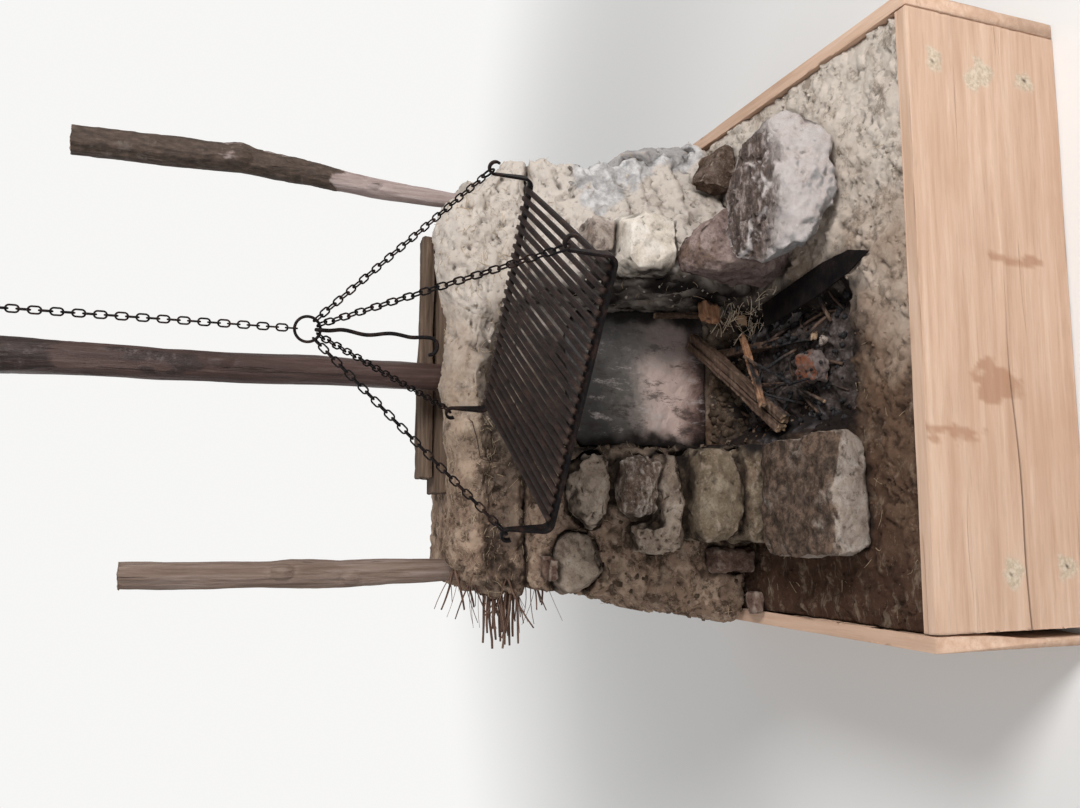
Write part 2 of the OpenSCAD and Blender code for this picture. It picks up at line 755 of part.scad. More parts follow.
brace_low = [arm_x, pole_axis - 10, arm_z - 215];
brace_high = [arm_x, pole_axis - 250, arm_z - 8];

module arm_brace()
    color("sienna")
    rotate_about_pole()
    difference() {
        aim(place(brace_low.x, brace_low.y, brace_low.z),
            [0, brace_high.y - brace_low.y, brace_high.z - brace_low.z], [1, 0, 0])
            cylinder(d = brace_dia, h = norm(brace_high - brace_low), $fn = 48);
        arm_axis() cylinder(d = arm_dia + 2 * fit, h = pole_axis - arm_front, $fn = 48);
        at(centre_x, pole_axis, 1600)
            cylinder(r = centre_top_r + fit, h = 700, $fn = 48);
        at(-200, arm_front, arm_z)
            cube([400, pole_axis, 200]);
    }

// Hook under the arm: a shank through the arm, clenched on a plate, and a round bend
hook_bend = 13;
hook_drop = 46;
shank_d = chain_d + hook_bend;
hook_plate = 4;
hook_seat = arm_z + arm_r + fit;
main_top = arm_z - arm_r - hook_drop;

module bend(r, wire, from, to)
    rotate([0, 0, from])
    rotate_extrude(angle = to - from, $fn = 48)
    translate([r, 0])
    circle(d = wire, $fn = 24);

module arm_hook()
    color("dimgray") {
        at(hook_x, chain_d, main_top + hook_bend)
            rotate([90, 0, 90])
            bend(hook_bend, arm_hook_wire, -180, 0);
        at(hook_x, shank_d, main_top + hook_bend)
            cylinder(d = arm_hook_wire, h = hook_seat - main_top - hook_bend
                + hook_plate + 3, $fn = 24);
        at(hook_x, shank_d, hook_seat)
            cylinder(d = 22, h = hook_plate, $fn = 6);
    }

// Gridiron: rails along its own X, bars along its own Y

module grill_frame()
    at(chain_x, chain_d, grill_z)
    rotate([0, 0, grill_yaw])
    children();

rail_y = grill_w / 2 - rail_w / 2;
bend_r = 12;
upright_x = grill_l / 2 - rail_t / 2;
curl_mid = curl_r + rail_t / 2;
curl_z = rail_t + upright_h;

// One end of a rail: a bend, an upright that narrows, and a curl that opens outwards
module rail_end() {
    translate([upright_x - bend_r - rail_t / 2, rail_w / 2, bend_r + rail_t])
        rotate([90, 0, 0])
        rotate([0, 0, -90])
        rotate_extrude(angle = 90, $fn = 64)
        translate([bend_r, 0])
        square([rail_t, rail_w]);
    translate([upright_x - rail_t / 2, 0, bend_r + rail_t])
        rotate([90, 0, 90])
        linear_extrude(rail_t)
        polygon([[-rail_w / 2, 0], [rail_w / 2, 0], [hook_w / 2, curl_z - bend_r - rail_t],
            [-hook_w / 2, curl_z - bend_r - rail_t]]);
    translate([upright_x + curl_mid, hook_w / 2, curl_z])
        rotate([90, 0, 0])
        mirror([1, 0, 0])
        rotate_extrude(angle = 215, $fn = 64)
        translate([curl_r, 0])
        square([rail_t, hook_w]);
}

module rail() {
    span = 2 * (upright_x - bend_r - rail_t / 2);
    translate([-span / 2, -rail_w / 2, 0])
        cube([span, rail_w, rail_t]);
    rail_end();
    mirror([1, 0, 0]) rail_end();
}

module gridiron_rails()
    color("darkslategray")
    grill_frame()
    for (side = [-1, 1])
        translate([0, side * rail_y, 0]) rail();

module gridiron_bars()
    color("dimgray")
    grill_frame()
    for (i = [0:bar_count - 1])
        translate([-grill_l / 2 + bar_inset + i * (grill_l - 2 * bar_inset)
            / (bar_count - 1) - bar_t / 2, -rail_y - 2, rail_t])
            cube([bar_t, 2 * rail_y + 4, bar_t]);

// Chains

// A link in its own XZ plane, long along Z, about its middle
module link(inner, gap, wire) {
    r = (gap + wire) / 2;
    half = (inner - gap) / 2;
    for (s = [-1, 1])
        translate([s * r, 0, -half])
            cylinder(d = wire, h = 2 * half, $fn = 16);
    translate([0, 0, half])
        rotate([90, 0, 0])
        bend(r, wire, 0, 180);
    translate([0, 0, -half])
        rotate([90, 0, 0])
        bend(r, wire, 180, 360);
}

end_inner = 24;
end_gap = 14;
end_wire = 4;
ring_r = (ring_dia - ring_wire) / 2;
ring_yaw = -11;
ring_dir = [cos(ring_yaw), sin(ring_yaw), 0];
ring_normal = [-sin(ring_yaw), cos(ring_yaw), 0];

// Corner hooks, as signs along the gridiron's own axes, and the angle at which the
// chain of each sits on the ring, from the ring's lowest point
legs = [
    [-1, -1, -52],
    [-1, 1, -25],
    [1, -1, 25],
    [1, 1, 52]];

// A hook's flat bar lies askew in the end link, so the link clears its corners
bar_reach = norm([rail_t, hook_w]) / 2;

// Longest stretch that a leg chain spans, from the hook's bar to the ring's wire
leg_reach = end_inner + leg_links * (link_inner - link_play) - 2 * link_play
    - bar_reach - ring_wire / 2;

// Where a chain sits in the curl, so that it pulls square to the bar
curl_run = upright_x + curl_mid;
seat_rise = sqrt(leg_reach * leg_reach - curl_run * curl_run - rail_y * rail_y);
seat_angle = 180 - atan2(seat_rise, curl_run);

// Middle of the flat bar where a chain sits in the curl of a corner hook
function seat(leg) =
    let (x = leg[0] * (upright_x + curl_mid + curl_mid * cos(seat_angle)),
         y = leg[1] * rail_y,
         z = grill_z + curl_z + curl_mid * sin(seat_angle))
    place(chain_x + x * cos(grill_yaw) - y * sin(grill_yaw),
        chain_d + x * sin(grill_yaw) + y * cos(grill_yaw), z);

function ring_offset(leg) = ring_r * sin(leg[2]) * ring_dir;
function level(v) = [v.x, v.y, 0];
function leg_run(leg) =
    norm(level(seat(leg) - place(chain_x, chain_d, 0) - ring_offset(leg)));
function ring_height(leg) =
    seat(leg).z + sqrt(leg_reach * leg_reach - leg_run(leg) * leg_run(leg))
        + ring_r * cos(leg[2]);

// The ring hangs where the shortest leg chain is taut
ring_z = min([for (leg = legs) ring_height(leg)]);
ring_mid = place(chain_x, chain_d, ring_z);

function ring_seat(leg) = ring_mid + ring_offset(leg) - [0, 0, ring_r * cos(leg[2])];

module leg_chain(leg) {
    low = seat(leg);
    high = ring_seat(leg);
    span = norm(high - low);
    play = link_play + (leg_reach - span) / (leg_links + 2);
    up = unit(high - low);
    across = [-sin(grill_yaw), cos(grill_yaw), 0];
    first = end_inner / 2 - bar_reach - play;
    next = end_inner / 2 + link_inner / 2 - play;
    aim(low, up, across) {
        translate([0, 0, first]) link(end_inner, end_gap, end_wire);
        for (i = [0:leg_links - 1])
            translate([0, 0, first + next + i * (link_inner - play)])
                rotate([0, 0, 90 * (i + 1)])
                link(link_inner, link_gap, link_wire);
    }
}

module left_chain() color("black") leg_chain(legs[0]);
module back_chain() color("black") leg_chain(legs[1]);
module front_chain() color("black") leg_chain(legs[2]);
module right_chain() color("black") leg_chain(legs[3]);

module chain_ring()
    color("dimgray")
    aim(ring_mid, ring_normal, ring_dir)
    rotate_extrude($fn = 72)
    translate([ring_r, 0])
    circle(d = ring_wire, $fn = 24);

// Main chain, from the bend of the arm's hook down to the top of the ring
main_low = ring_z + ring_r;
main_high = main_top;
main_span = main_high - main_low + (arm_hook_wire + ring_wire) / 2;
main_links = 2 * ceil(main_span / (link_inner - link_play) / 2);
main_inner = round(100 * (main_span + (main_links + 1) * link_play) / main_links) / 100;

// One link of the main chain: each is turned a quarter from the one below, and the
// chain is twisted a little, so that its top link hangs square to the arm's hook
module main_link(i)
    translate([chain_x, front_y + chain_d,
        main_low - ring_wire / 2 - link_play + main_inner / 2
            + i * (main_inner - link_play)])
        rotate([0, 0, 90 * (i + 1) + ring_yaw * (1 - i / (main_links - 1))])
        link(main_inner, link_gap, link_wire);

module main_chain()
    color("black")
    for (i = [0:main_links - 2]) main_link(i);

module top_link() color("black") main_link(main_links - 1);

// Pot hook: an eye on the ring's lowest point, a shank and a round hook below
eye_play = 1.5;
eye_r = (ring_wire + pot_hook_wire) / 2 + eye_play;
eye_drop = eye_play - link_play;
pot_bend = 15;

module pot_hook()
    color("dimgray")
    aim(ring_mid - [0, 0, ring_r + eye_drop], [0, 0, 1], ring_normal) {
        rotate([90, 0, 0]) bend(eye_r, pot_hook_wire, -90, 200);
        rotate([0, 0, -90]) pot_shank();
    }

module pot_shank() {
    drop = pot_hook_l - eye_drop - eye_r - pot_bend - pot_hook_wire / 2;
    translate([0, 0, -eye_r - drop])
        cylinder(d = pot_hook_wire, h = drop, $fn = 24);
    translate([-pot_bend, 0, -eye_r - drop])
        rotate([90, 0, 0])
        bend(pot_bend, pot_hook_wire, -180, 0);
}

// Fire

module fire_blade()
    color("darkslategray")
    at(131, 115, base_z)
    rotate([0, 0, 7.5])
    linear_extrude(blade_t)
    polygon([[0, 0], [0.42 * blade_w, 0.16 * blade_l], [0.52 * blade_w, 0.4 * blade_l],
        [0.30 * blade_w, blade_l], [-0.62 * blade_w, blade_l],
        [-0.56 * blade_w, 0.5 * blade_l], [-0.36 * blade_w, 0.2 * blade_l]]);

// A heap of ash lies on the floor of the pit
ash_size = [pit_w - 2 * pit_slope - 22, pit_l - 2 * pit_slope - 60, 24];
ash_top = bed_top - pit_sink + ash_size.z + 2 * joint;
kindling = [kindling_side, kindling_side];
pair_side = split_side - 5;

// The split pair lies on the left side of the pit and leans on the fireback
pair_low = place(pit_x - pit_w / 2 + 18, 408, slope_z(9.5) + joint);
pair_high = place(53, fireback_d - 7, bed_top + 32);

// Sticks of the fire: the lines of their undersides, and their height and width
fire_sticks = [
    [pair_low, pair_high, [split_side, pair_side]],
    [place(12, 324, ash_top), place(26, 668, slope_z(12) + joint),
        kindling + [4, 4]],
    [place(-126, 418, bed_top + 29.1), place(49, 543, bed_top - 4.9), kindling],
    [place(-124, 304, ash_top), place(-8, 494, bed_top + 29.4), [9, 8]],
    [place(90, 560, slope_z(18) + joint), place(93, 640, slope_z(14) + joint),
        [split_side + 4, split_side]],
    [place(121, 690, base_z), place(112, 703, bed_top + 144), kindling - [2, 4]]];

module stick(s)
    aim(s[0], s[1] - s[0], [0, 0, 1])
    linear_extrude(norm(s[1] - s[0]))
    translate([0, -s[2].y / 2])
    square(s[2]);

// Ash with burnt sticks and two lumps on it
module firewood()
    color("sienna") {
        at(pit_x, pit_front + pit_l / 2, bed_top - pit_sink + joint)
            stone(ash_size, 140, round = 9, least = 0.94);
        at(-56, 312, ash_top)
            stone([72, 66, 52], 147, round = 9, least = 0.72);
        at(-4, 300, ash_top)
            stone([26, 24, 18], 151, round = 3, least = 0.85);
        for (s = fire_sticks) stick(s);
        across = cross([0, 0, 1], pair_high - pair_low);
        translate(-(pair_side + joint) * unit(across)) stick(fire_sticks[0]);
    }

front_board();
left_board();
right_board();
back_board();
clay_bed();
left_block();
left_base_stone();
left_olive_stone();
left_split_stone();
left_flaky_stone();
left_grey_stone();
left_tan_stone();
left_small_stones();
left_cob_wall();
right_boulder();
right_purple_stone();
right_tan_stone();
right_pale_stone();
right_wedge_stone();
right_outer_stones();
right_cob_wall();
fireback_slab();
back_wall();
mantel();
mantel_ledge();
brushwood();
left_pole();
centre_pole();
right_pole();
shelf_logs();
hanging_arm();
arm_brace();
arm_hook();
top_link();
main_chain();
chain_ring();
pot_hook();
front_chain();
right_chain();
back_chain();
left_chain();
gridiron_rails();
gridiron_bars();
fire_blade();
firewood();
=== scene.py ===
"""Looks of a raised open hearth with a hanging gridiron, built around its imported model."""
import json
import math
from itertools import product

import bmesh
import bpy
import numpy as np
from mathutils import Matrix, Vector
from mathutils.bvhtree import BVHTree

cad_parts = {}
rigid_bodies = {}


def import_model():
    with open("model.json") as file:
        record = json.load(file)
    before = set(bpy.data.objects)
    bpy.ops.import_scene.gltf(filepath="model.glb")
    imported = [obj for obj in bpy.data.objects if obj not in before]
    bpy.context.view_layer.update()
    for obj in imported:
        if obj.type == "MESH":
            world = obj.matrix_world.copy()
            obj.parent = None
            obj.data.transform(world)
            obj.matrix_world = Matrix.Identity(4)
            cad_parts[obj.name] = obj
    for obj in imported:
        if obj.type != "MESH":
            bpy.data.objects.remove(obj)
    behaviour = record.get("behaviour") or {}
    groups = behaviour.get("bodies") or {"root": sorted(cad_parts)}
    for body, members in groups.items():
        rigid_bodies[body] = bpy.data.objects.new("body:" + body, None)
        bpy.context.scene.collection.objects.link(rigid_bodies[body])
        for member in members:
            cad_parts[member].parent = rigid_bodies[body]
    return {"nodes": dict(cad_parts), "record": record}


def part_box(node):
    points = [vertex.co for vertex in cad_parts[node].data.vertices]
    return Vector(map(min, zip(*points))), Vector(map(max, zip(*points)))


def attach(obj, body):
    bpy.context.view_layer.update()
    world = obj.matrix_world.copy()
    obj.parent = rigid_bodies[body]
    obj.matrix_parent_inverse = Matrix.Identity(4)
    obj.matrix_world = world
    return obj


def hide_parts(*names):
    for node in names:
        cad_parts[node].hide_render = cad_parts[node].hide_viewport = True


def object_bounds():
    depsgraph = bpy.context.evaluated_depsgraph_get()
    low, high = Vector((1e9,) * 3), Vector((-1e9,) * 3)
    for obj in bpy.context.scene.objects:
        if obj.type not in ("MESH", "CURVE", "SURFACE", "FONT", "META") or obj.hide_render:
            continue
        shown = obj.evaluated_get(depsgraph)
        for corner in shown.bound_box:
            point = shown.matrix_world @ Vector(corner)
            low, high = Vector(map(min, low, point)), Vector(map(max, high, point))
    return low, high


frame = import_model()
CAD_BOX = [list(corner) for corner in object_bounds()]
NODES = frame["nodes"]
SLOT_OF = {s["node"]: s["material_slot"] for s in frame["record"]["subparts"]}

# Places and limits in metres, and a full turn as the random draws use it

LEFT_LIMIT = CAD_BOX[0][0] + 0.001
TOP_LIMIT = CAD_BOX[1][2] - 0.0003
BED_TOP = 0.351
FIREBOX = (-0.032, -0.085, 0.53), (0.150, 0.185, 0.25)  # middle and half size
PIT = (-0.032, -0.175, 0), (0.125, 0.200, 0)
FIRE_X = -0.0325  # middle of the fireback and of the pit
FIRE_HEART = np.array((-0.045, -0.205, 0.335))
ABOVE_FIRE, CINDER_TOP = 0.5, 0.36
FULL_TURN = 6.28
DENSE_SHARE, BOARD_SHARE = 0.52, 0.4  # of the triangles that are kept


# Noise, as plain functions of points in metres

FACET_SHARPNESS = 14.0
SKEW = np.array(Matrix.Rotation(0.9, 3, Vector((1, 2, 3)).normalized()))


def lattice(cell, seed):
    """A repeatable number from 0 to 1 for each row of three whole numbers."""
    i, j, k = (cell[:, n].astype(np.int64).astype(np.uint64) for n in range(3))
    h = i * np.uint64(73856093) ^ j * np.uint64(19349663) ^ k * np.uint64(83492791)
    h = (h ^ np.uint64(seed * 2654435761 % 2**32)) & np.uint64(0xFFFFFFFF)
    h = (h ^ (h >> np.uint64(15))) * np.uint64(2246822519) & np.uint64(0xFFFFFFFF)
    h = (h ^ (h >> np.uint64(13))) * np.uint64(3266489917) & np.uint64(0xFFFFFFFF)
    return ((h ^ (h >> np.uint64(16))) & np.uint64(0xFFFFFF)) / float(0xFFFFFF)


def noise(points, size, seed):
    """Smooth noise from -1 to 1 with lumps of the given size."""
    q = points @ SKEW.T / size
    base = np.floor(q)
    f = q - base
    w = f * f * f * (f * (f * 6 - 15) + 10)
    total = np.zeros(len(points))
    for corner in product((0, 1), repeat=3):
        weight = np.ones(len(points))
        for axis, side in enumerate(corner):
            weight *= w[:, axis] if side else 1 - w[:, axis]
        total += weight * lattice(base + corner, seed)
    return 2 * total - 1


def fractal(points, size, octaves, seed, gain=0.5):
    """Noise with finer noise on it, to about 2 either way."""
    return sum(noise(points, size / 2 ** k, seed + k) * gain ** k for k in range(octaves))


def ridged(points, size, octaves, seed):
    """Sharp crests from 0 to about 1."""
    return sum((1 - np.abs(noise(points, size / 2 ** k, seed + k))) * 0.5 ** (k + 1)
               for k in range(octaves))


def facets(points, size, seed):
    """Heights of slanting flat faces that meet in edges, as on broken stone."""
    q = points @ SKEW.T / size
    base = np.floor(q)
    total, weights = np.zeros(len(q)), np.full(len(q), 1e-9)
    for step in product((-1, 0, 1), repeat=3):
        cell = base + step
        spot, slant = (np.stack([lattice(cell, seed + first + n) for n in range(3)], 1)
                       for first in (0, 3))
        away = q - cell - spot
        weight = np.exp(-FACET_SHARPNESS * (away ** 2).sum(1))
        total += weight * (away * (2 * slant - 1)).sum(1)
        weights += weight
    return total / weights


def smooth(value, low, high):
    """A soft step from 0 at low to 1 at high."""
    t = np.clip((value - low) / (high - low), 0, 1)
    return t * t * (3 - 2 * t)


def squeezed(axis, share):
    """Factors for points that draw noise out along one axis."""
    factors = np.ones(3)
    factors[axis] = share
    return factors


def off_box(points, middle, half):
    """Distances of points to a box."""
    return np.linalg.norm(np.maximum(np.abs(points - middle) - half, 0), axis=1)


def sooted(points, reach):
    """How sooty places are, from 0 to 1: in the firebox and a little around it."""
    away = off_box(points, *FIREBOX) + 0.030 * fractal(points, 0.06, 4, 7)
    return smooth(away, reach, 0.005)


def along_line(points, start, end):
    """Distances of points to a line between two places."""
    start, run = np.array(start), np.array(end) - np.array(start)
    share = np.clip((points - start) @ run / (run @ run), 0, 1)
    return np.linalg.norm(points - start - share[:, None] * run, axis=1)


# Meshes

def new_object(name, points, faces):
    """A smooth-shaded mesh object in the scene."""
    mesh = bpy.data.meshes.new(name)
    mesh.from_pydata(np.asarray(points, float).tolist(), [], faces)
    mesh.update()
    obj = bpy.data.objects.new(name, mesh)
    bpy.context.scene.collection.objects.link(obj)
    mesh.polygons.foreach_set("use_smooth", [True] * len(mesh.polygons))
    return obj


def get_points(obj):
    flat = np.empty(len(obj.data.vertices) * 3)
    obj.data.vertices.foreach_get("co", flat)
    return flat.reshape(-1, 3)


def set_points(obj, points):
    obj.data.vertices.foreach_set("co", np.ascontiguousarray(points).ravel())
    obj.data.update()


def get_normals(obj):
    flat = np.empty(len(obj.data.vertices) * 3)
    obj.data.vertex_normals.foreach_get("vector", flat)
    return flat.reshape(-1, 3)


def paint(obj, name, values):
    """A number on every point, which a material can read."""
    layers = obj.data.attributes
    layer = layers.get(name) or layers.new(name, "FLOAT", "POINT")
    layer.data.foreach_set("value", np.asarray(values, np.float32))


def fix_normals(obj):
    """Turns every face outwards."""
    bm = bmesh.new()
    bm.from_mesh(obj.data)
    bmesh.ops.recalc_face_normals(bm, faces=bm.faces)
    bm.to_mesh(obj.data)
    bm.free()


def middle_of(pts):
    return (pts.min(0) + pts.max(0)) / 2


def main_axes(pts):
    """The directions of a body, the longest first."""
    return np.linalg.svd(pts - pts.mean(0), full_matrices=False)[2]


def solids(*nodes):
    """The separate solids of CAD nodes, as (points, faces) with shared corners."""
    found = []
    for node in nodes:
        bm = bmesh.new()
        bm.from_mesh(NODES[node].data)
        bmesh.ops.remove_doubles(bm, verts=bm.verts, dist=1e-6)
        seen = set()
        for start in bm.verts:
            if start in seen:
                continue
            seen.add(start)
            group, stack, faces = [], [start], set()
            while stack:
                v = stack.pop()
                group.append(v)
                faces.update(v.link_faces)
                for edge in v.link_edges:
                    other = edge.other_vert(v)
                    if other not in seen:
                        seen.add(other)
                        stack.append(other)
            index = {v: i for i, v in enumerate(group)}
            found.append((np.array([v.co for v in group]),
                          [[index[v] for v in f.verts] for f in faces]))
        bm.free()
    return found


dense = []


def even(obj, voxel, smoothing):
    """Turns a closed mesh into evenly spread small faces."""
    dense.append(obj)
    mod = obj.modifiers.new("even", "REMESH")
    mod.mode, mod.voxel_size, mod.use_smooth_shade = "VOXEL", voxel, True
    soft = obj.modifiers.new("soft", "SMOOTH")
    soft.factor, soft.iterations = 0.5, smoothing
    shaped = obj.evaluated_get(bpy.context.evaluated_depsgraph_get())
    mesh = bpy.data.meshes.new_from_object(shaped)
    obj.modifiers.clear()
    obj.data = mesh
    return obj


def lighten(pieces, share):
    """Keeps a share of the triangles of dense pieces, with what is painted on them."""
    for obj in pieces:
        obj.modifiers.new("lighter", "DECIMATE").ratio = share
    graph = bpy.context.evaluated_depsgraph_get()
    made = [bpy.data.meshes.new_from_object(obj.evaluated_get(graph), depsgraph=graph,
                                            preserve_all_data_layers=True) for obj in pieces]
    for obj, mesh in zip(pieces, made):
        obj.modifiers.clear()
        obj.data = mesh


def from_nodes(name, nodes, voxel, smoothing, pick=None):
    """An evenly meshed object from CAD nodes, or from some of their solids."""
    parts = [s for i, s in enumerate(solids(*nodes)) if pick is None or i in pick]
    return even(joined(name, parts), voxel, smoothing)


def merged(parts):
    """Several (points, faces) as one."""
    points, faces, start = [], [], 0
    for pts, fcs in parts:
        points.append(pts)
        faces += [[i + start for i in f] for f in fcs]
        start += len(pts)
    return np.concatenate(points), faces


def joined(name, parts):
    """Several (points, faces) as one object."""
    return new_object(name, *merged(parts))


def tube(path, radii, sides, flat=1.0):
    """A closed tube along a path, as (points, faces)."""
    path = np.asarray(path, float)
    radii = np.broadcast_to(np.asarray(radii, float), (len(path),))
    run = np.gradient(path, axis=0)
    run /= np.linalg.norm(run, axis=1)[:, None]
    aside = np.cross(run[0], (0.31, 0.87, 0.38))
    points = []
    for at, along, r in zip(path, run, radii):
        aside = aside - along * (aside @ along)
        aside /= np.linalg.norm(aside)
        up = np.cross(along, aside)
        for k in range(sides):
            a = 2 * math.pi * k / sides
            points.append(at + r * (math.cos(a) * aside + flat * math.sin(a) * up))
    faces = [[i * sides + k, i * sides + (k + 1) % sides,
              (i + 1) * sides + (k + 1) % sides, (i + 1) * sides + k]
             for i in range(len(path) - 1) for k in range(sides)]
    faces.append(list(range(sides))[::-1])
    faces.append([(len(path) - 1) * sides + k for k in range(sides)])
    return np.array(points), faces


def lump(rng, at, size, detail):
    """A broken crumb, as (points, faces)."""
    bm = bmesh.new()
    bmesh.ops.create_icosphere(bm, subdivisions=detail, radius=1)
    pts = np.array([v.co for v in bm.verts])
    faces = [[v.index for v in f.verts] for f in bm.faces]
    bm.free()
    for _ in range(5):
        d = rng.normal(size=3)
        d /= np.linalg.norm(d)
        over = np.maximum(0, pts @ d - rng.uniform(0.45, 0.85))
        pts = pts - over[:, None] * d
    pts *= 1 + 0.18 * noise(pts, 0.7, int(rng.integers(9999)))[:, None]
    turn = np.array(Matrix.Rotation(rng.uniform(0, FULL_TURN), 3, "Z"))
    return (pts * size) @ turn.T + at, faces


def grid_body(name, points, nx, ny, foot):
    """A closed body under a grid of points, with straight sides down to a level."""
    quads = [[j * nx + i, j * nx + i + 1, (j + 1) * nx + i + 1, (j + 1) * nx + i]
             for j in range(ny - 1) for i in range(nx - 1)]
    around = ([i for i in range(nx)] + [j * nx + nx - 1 for j in range(1, ny)]
              + [(ny - 1) * nx + i for i in range(nx - 2, -1, -1)]
              + [j * nx for j in range(ny - 2, 0, -1)])
    start, count = len(points), len(around)
    low = points[around] * (1, 1, 0) + (0, 0, foot)
    quads += [[around[(k + 1) % count], around[k], start + k, start + (k + 1) % count]
              for k in range(count)]
    quads.append([start + k for k in range(count)][::-1])
    return new_object(name, np.concatenate([points, low]), quads)


class Surface:
    """Places things on pieces: straight down on them, or scattered over them."""

    def __init__(self, *objects):
        points, faces = merged([(get_points(obj), [p.vertices for p in obj.data.polygons])
                                for obj in objects])
        self.tree = BVHTree.FromPolygons(points.tolist(), faces)
        self.mids = np.array([points[f].mean(0) for f in faces])
        a, b, c = (points[[f[k] for f in faces]] for k in range(3))
        cross = np.cross(b - a, c - a)
        self.areas = np.linalg.norm(cross, axis=1)
        self.normals = cross / np.maximum(self.areas, 1e-12)[:, None]

    def height(self, x, y):
        """The height of what lies under a place above the fire."""
        hit = self.tree.ray_cast(Vector((x, y, ABOVE_FIRE)), Vector((0, 0, -1)))
        return hit[0].z if hit[0] else None

    def scatter(self, rng, count, keep):
        """Random places with their normals, where keep(mids, normals) is high."""
        chance = self.areas * keep(self.mids, self.normals)
        pick = rng.choice(len(chance), count, p=chance / chance.sum())
        return self.mids[pick], self.normals[pick]


# Materials

class Finish:
    """A procedural material, put together a few nodes at a time."""

    def __init__(self, name, rough, metal=0.0, specular=0.3):
        self.material = bpy.data.materials.new(name)
        self.material.use_nodes = True
        tree = self.material.node_tree
        self.nodes, self.links = tree.nodes, tree.links
        self.shader = self.nodes["Principled BSDF"]
        self.shader.inputs["Roughness"].default_value = rough
        self.shader.inputs["Metallic"].default_value = metal
        self.shader.inputs["Specular IOR Level"].default_value = specular
        self.place = self.nodes.new("ShaderNodeTexCoord").outputs["Object"]
        geometry = self.nodes.new("ShaderNodeNewGeometry")
        self.normal = geometry.outputs["Normal"]
        self.edges = geometry.outputs["Pointiness"]

    def node(self, kind, inputs, output=0, **settings):
        """Adds a node, links or sets its inputs and gives one of its outputs."""
        made = self.nodes.new("ShaderNode" + kind)
        for key, value in settings.items():
            setattr(made, key, value)
        for key, value in inputs.items():
            if isinstance(value, bpy.types.NodeSocket):
                self.links.new(value, made.inputs[key])
            else:
                made.inputs[key].default_value = value
        return made.outputs[output]

    def scaled(self, x, y, z):
        return self.node("Mapping", {"Vector": self.place, "Scale": (x, y, z)})

    def noise(self, size, detail=5, rough=0.6, where=None, twist=0.0):
        return self.node("TexNoise", {"Vector": where or self.place, "Scale": 1 / size,
                                      "Detail": detail, "Roughness": rough, "Distortion": twist})

    def cells(self, size, feature="F1", where=None, output="Distance"):
        return self.node("TexVoronoi", {"Vector": where or self.place, "Scale": 1 / size},
                         output, feature=feature)

    def math(self, operation, a, b=0.0):
        return self.node("Math", {0: a, 1: b}, operation=operation)

    def step(self, value, low, high):
        return self.node("MapRange", {"Value": value, "From Min": low, "From Max": high},
                         interpolation_type="SMOOTHSTEP")

    def share(self, value, low, high, amount):
        """How far a value has come from low to high, times an amount."""
        return self.math("MULTIPLY", self.step(value, low, high), amount)

    def pushed(self, value, noise, amount):
        """A value that noise moves up and down."""
        push = self.math("MULTIPLY", self.math("SUBTRACT", noise, 0.5), amount)
        return self.math("ADD", value, push)

    def axis(self, vector, name):
        return self.node("SeparateXYZ", {0: vector}, name)

    def distance(self, point):
        return self.node("VectorMath", {0: self.place, 1: point}, "Value", operation="DISTANCE")

    def painted(self, name):
        return self.node("Attribute", {}, "Fac", attribute_name=name)

    def mix(self, amount, a, b):
        """Colour a with an amount of colour b over it."""
        made = {0: amount, 6: self.colour(a), 7: self.colour(b)}
        return self.node("Mix", made, 2, data_type="RGBA")

    def dirtied_and_shaded(self, colour):
        """A colour with painted joint dirt and contact shade, and painted soot that in places is
        painted shade too, on it.
        """
        colour = self.mix(self.painted("grime_and_shade"), colour, GRIME_AND_SHADE)
        return self.mix(self.painted("soot_and_shade"), colour, SOOT_AND_SHADE)

    @staticmethod
    def colour(value):
        return value if isinstance(value, bpy.types.NodeSocket) else (*value, 1)

    def ramp(self, value, *stops):
        """Colours for a value, from (place, colour) stops."""
        made = self.nodes.new("ShaderNodeValToRGB")
        ramp = made.color_ramp
        while len(ramp.elements) < len(stops):
            ramp.elements.new(1)
        for element, (at, rgb) in zip(ramp.elements, stops):
            element.position, element.color = at, (*rgb, 1)
        self.links.new(value, made.inputs[0])
        return made.outputs[0]

    def bump(self, height, depth, below=None):
        inputs = {"Height": height, "Distance": depth, "Strength": 1.0}
        if below:
            inputs["Normal"] = below
        return self.node("Bump", inputs)

    def done(self, colour, normal=None, rough=None):
        self.links.new(colour, self.shader.inputs["Base Color"])
        if normal:
            self.links.new(normal, self.shader.inputs["Normal"])
        if rough:
            self.links.new(rough, self.shader.inputs["Roughness"])
        return self.material


# The colour of soot, also painted as shade under the mantel's brow and at the pit's edge
SOOT_AND_SHADE = (0.020, 0.016, 0.015)
# The colour of joint dirt, also painted as contact shade between parts and as shade in crevices
GRIME_AND_SHADE = (0.034, 0.023, 0.017)


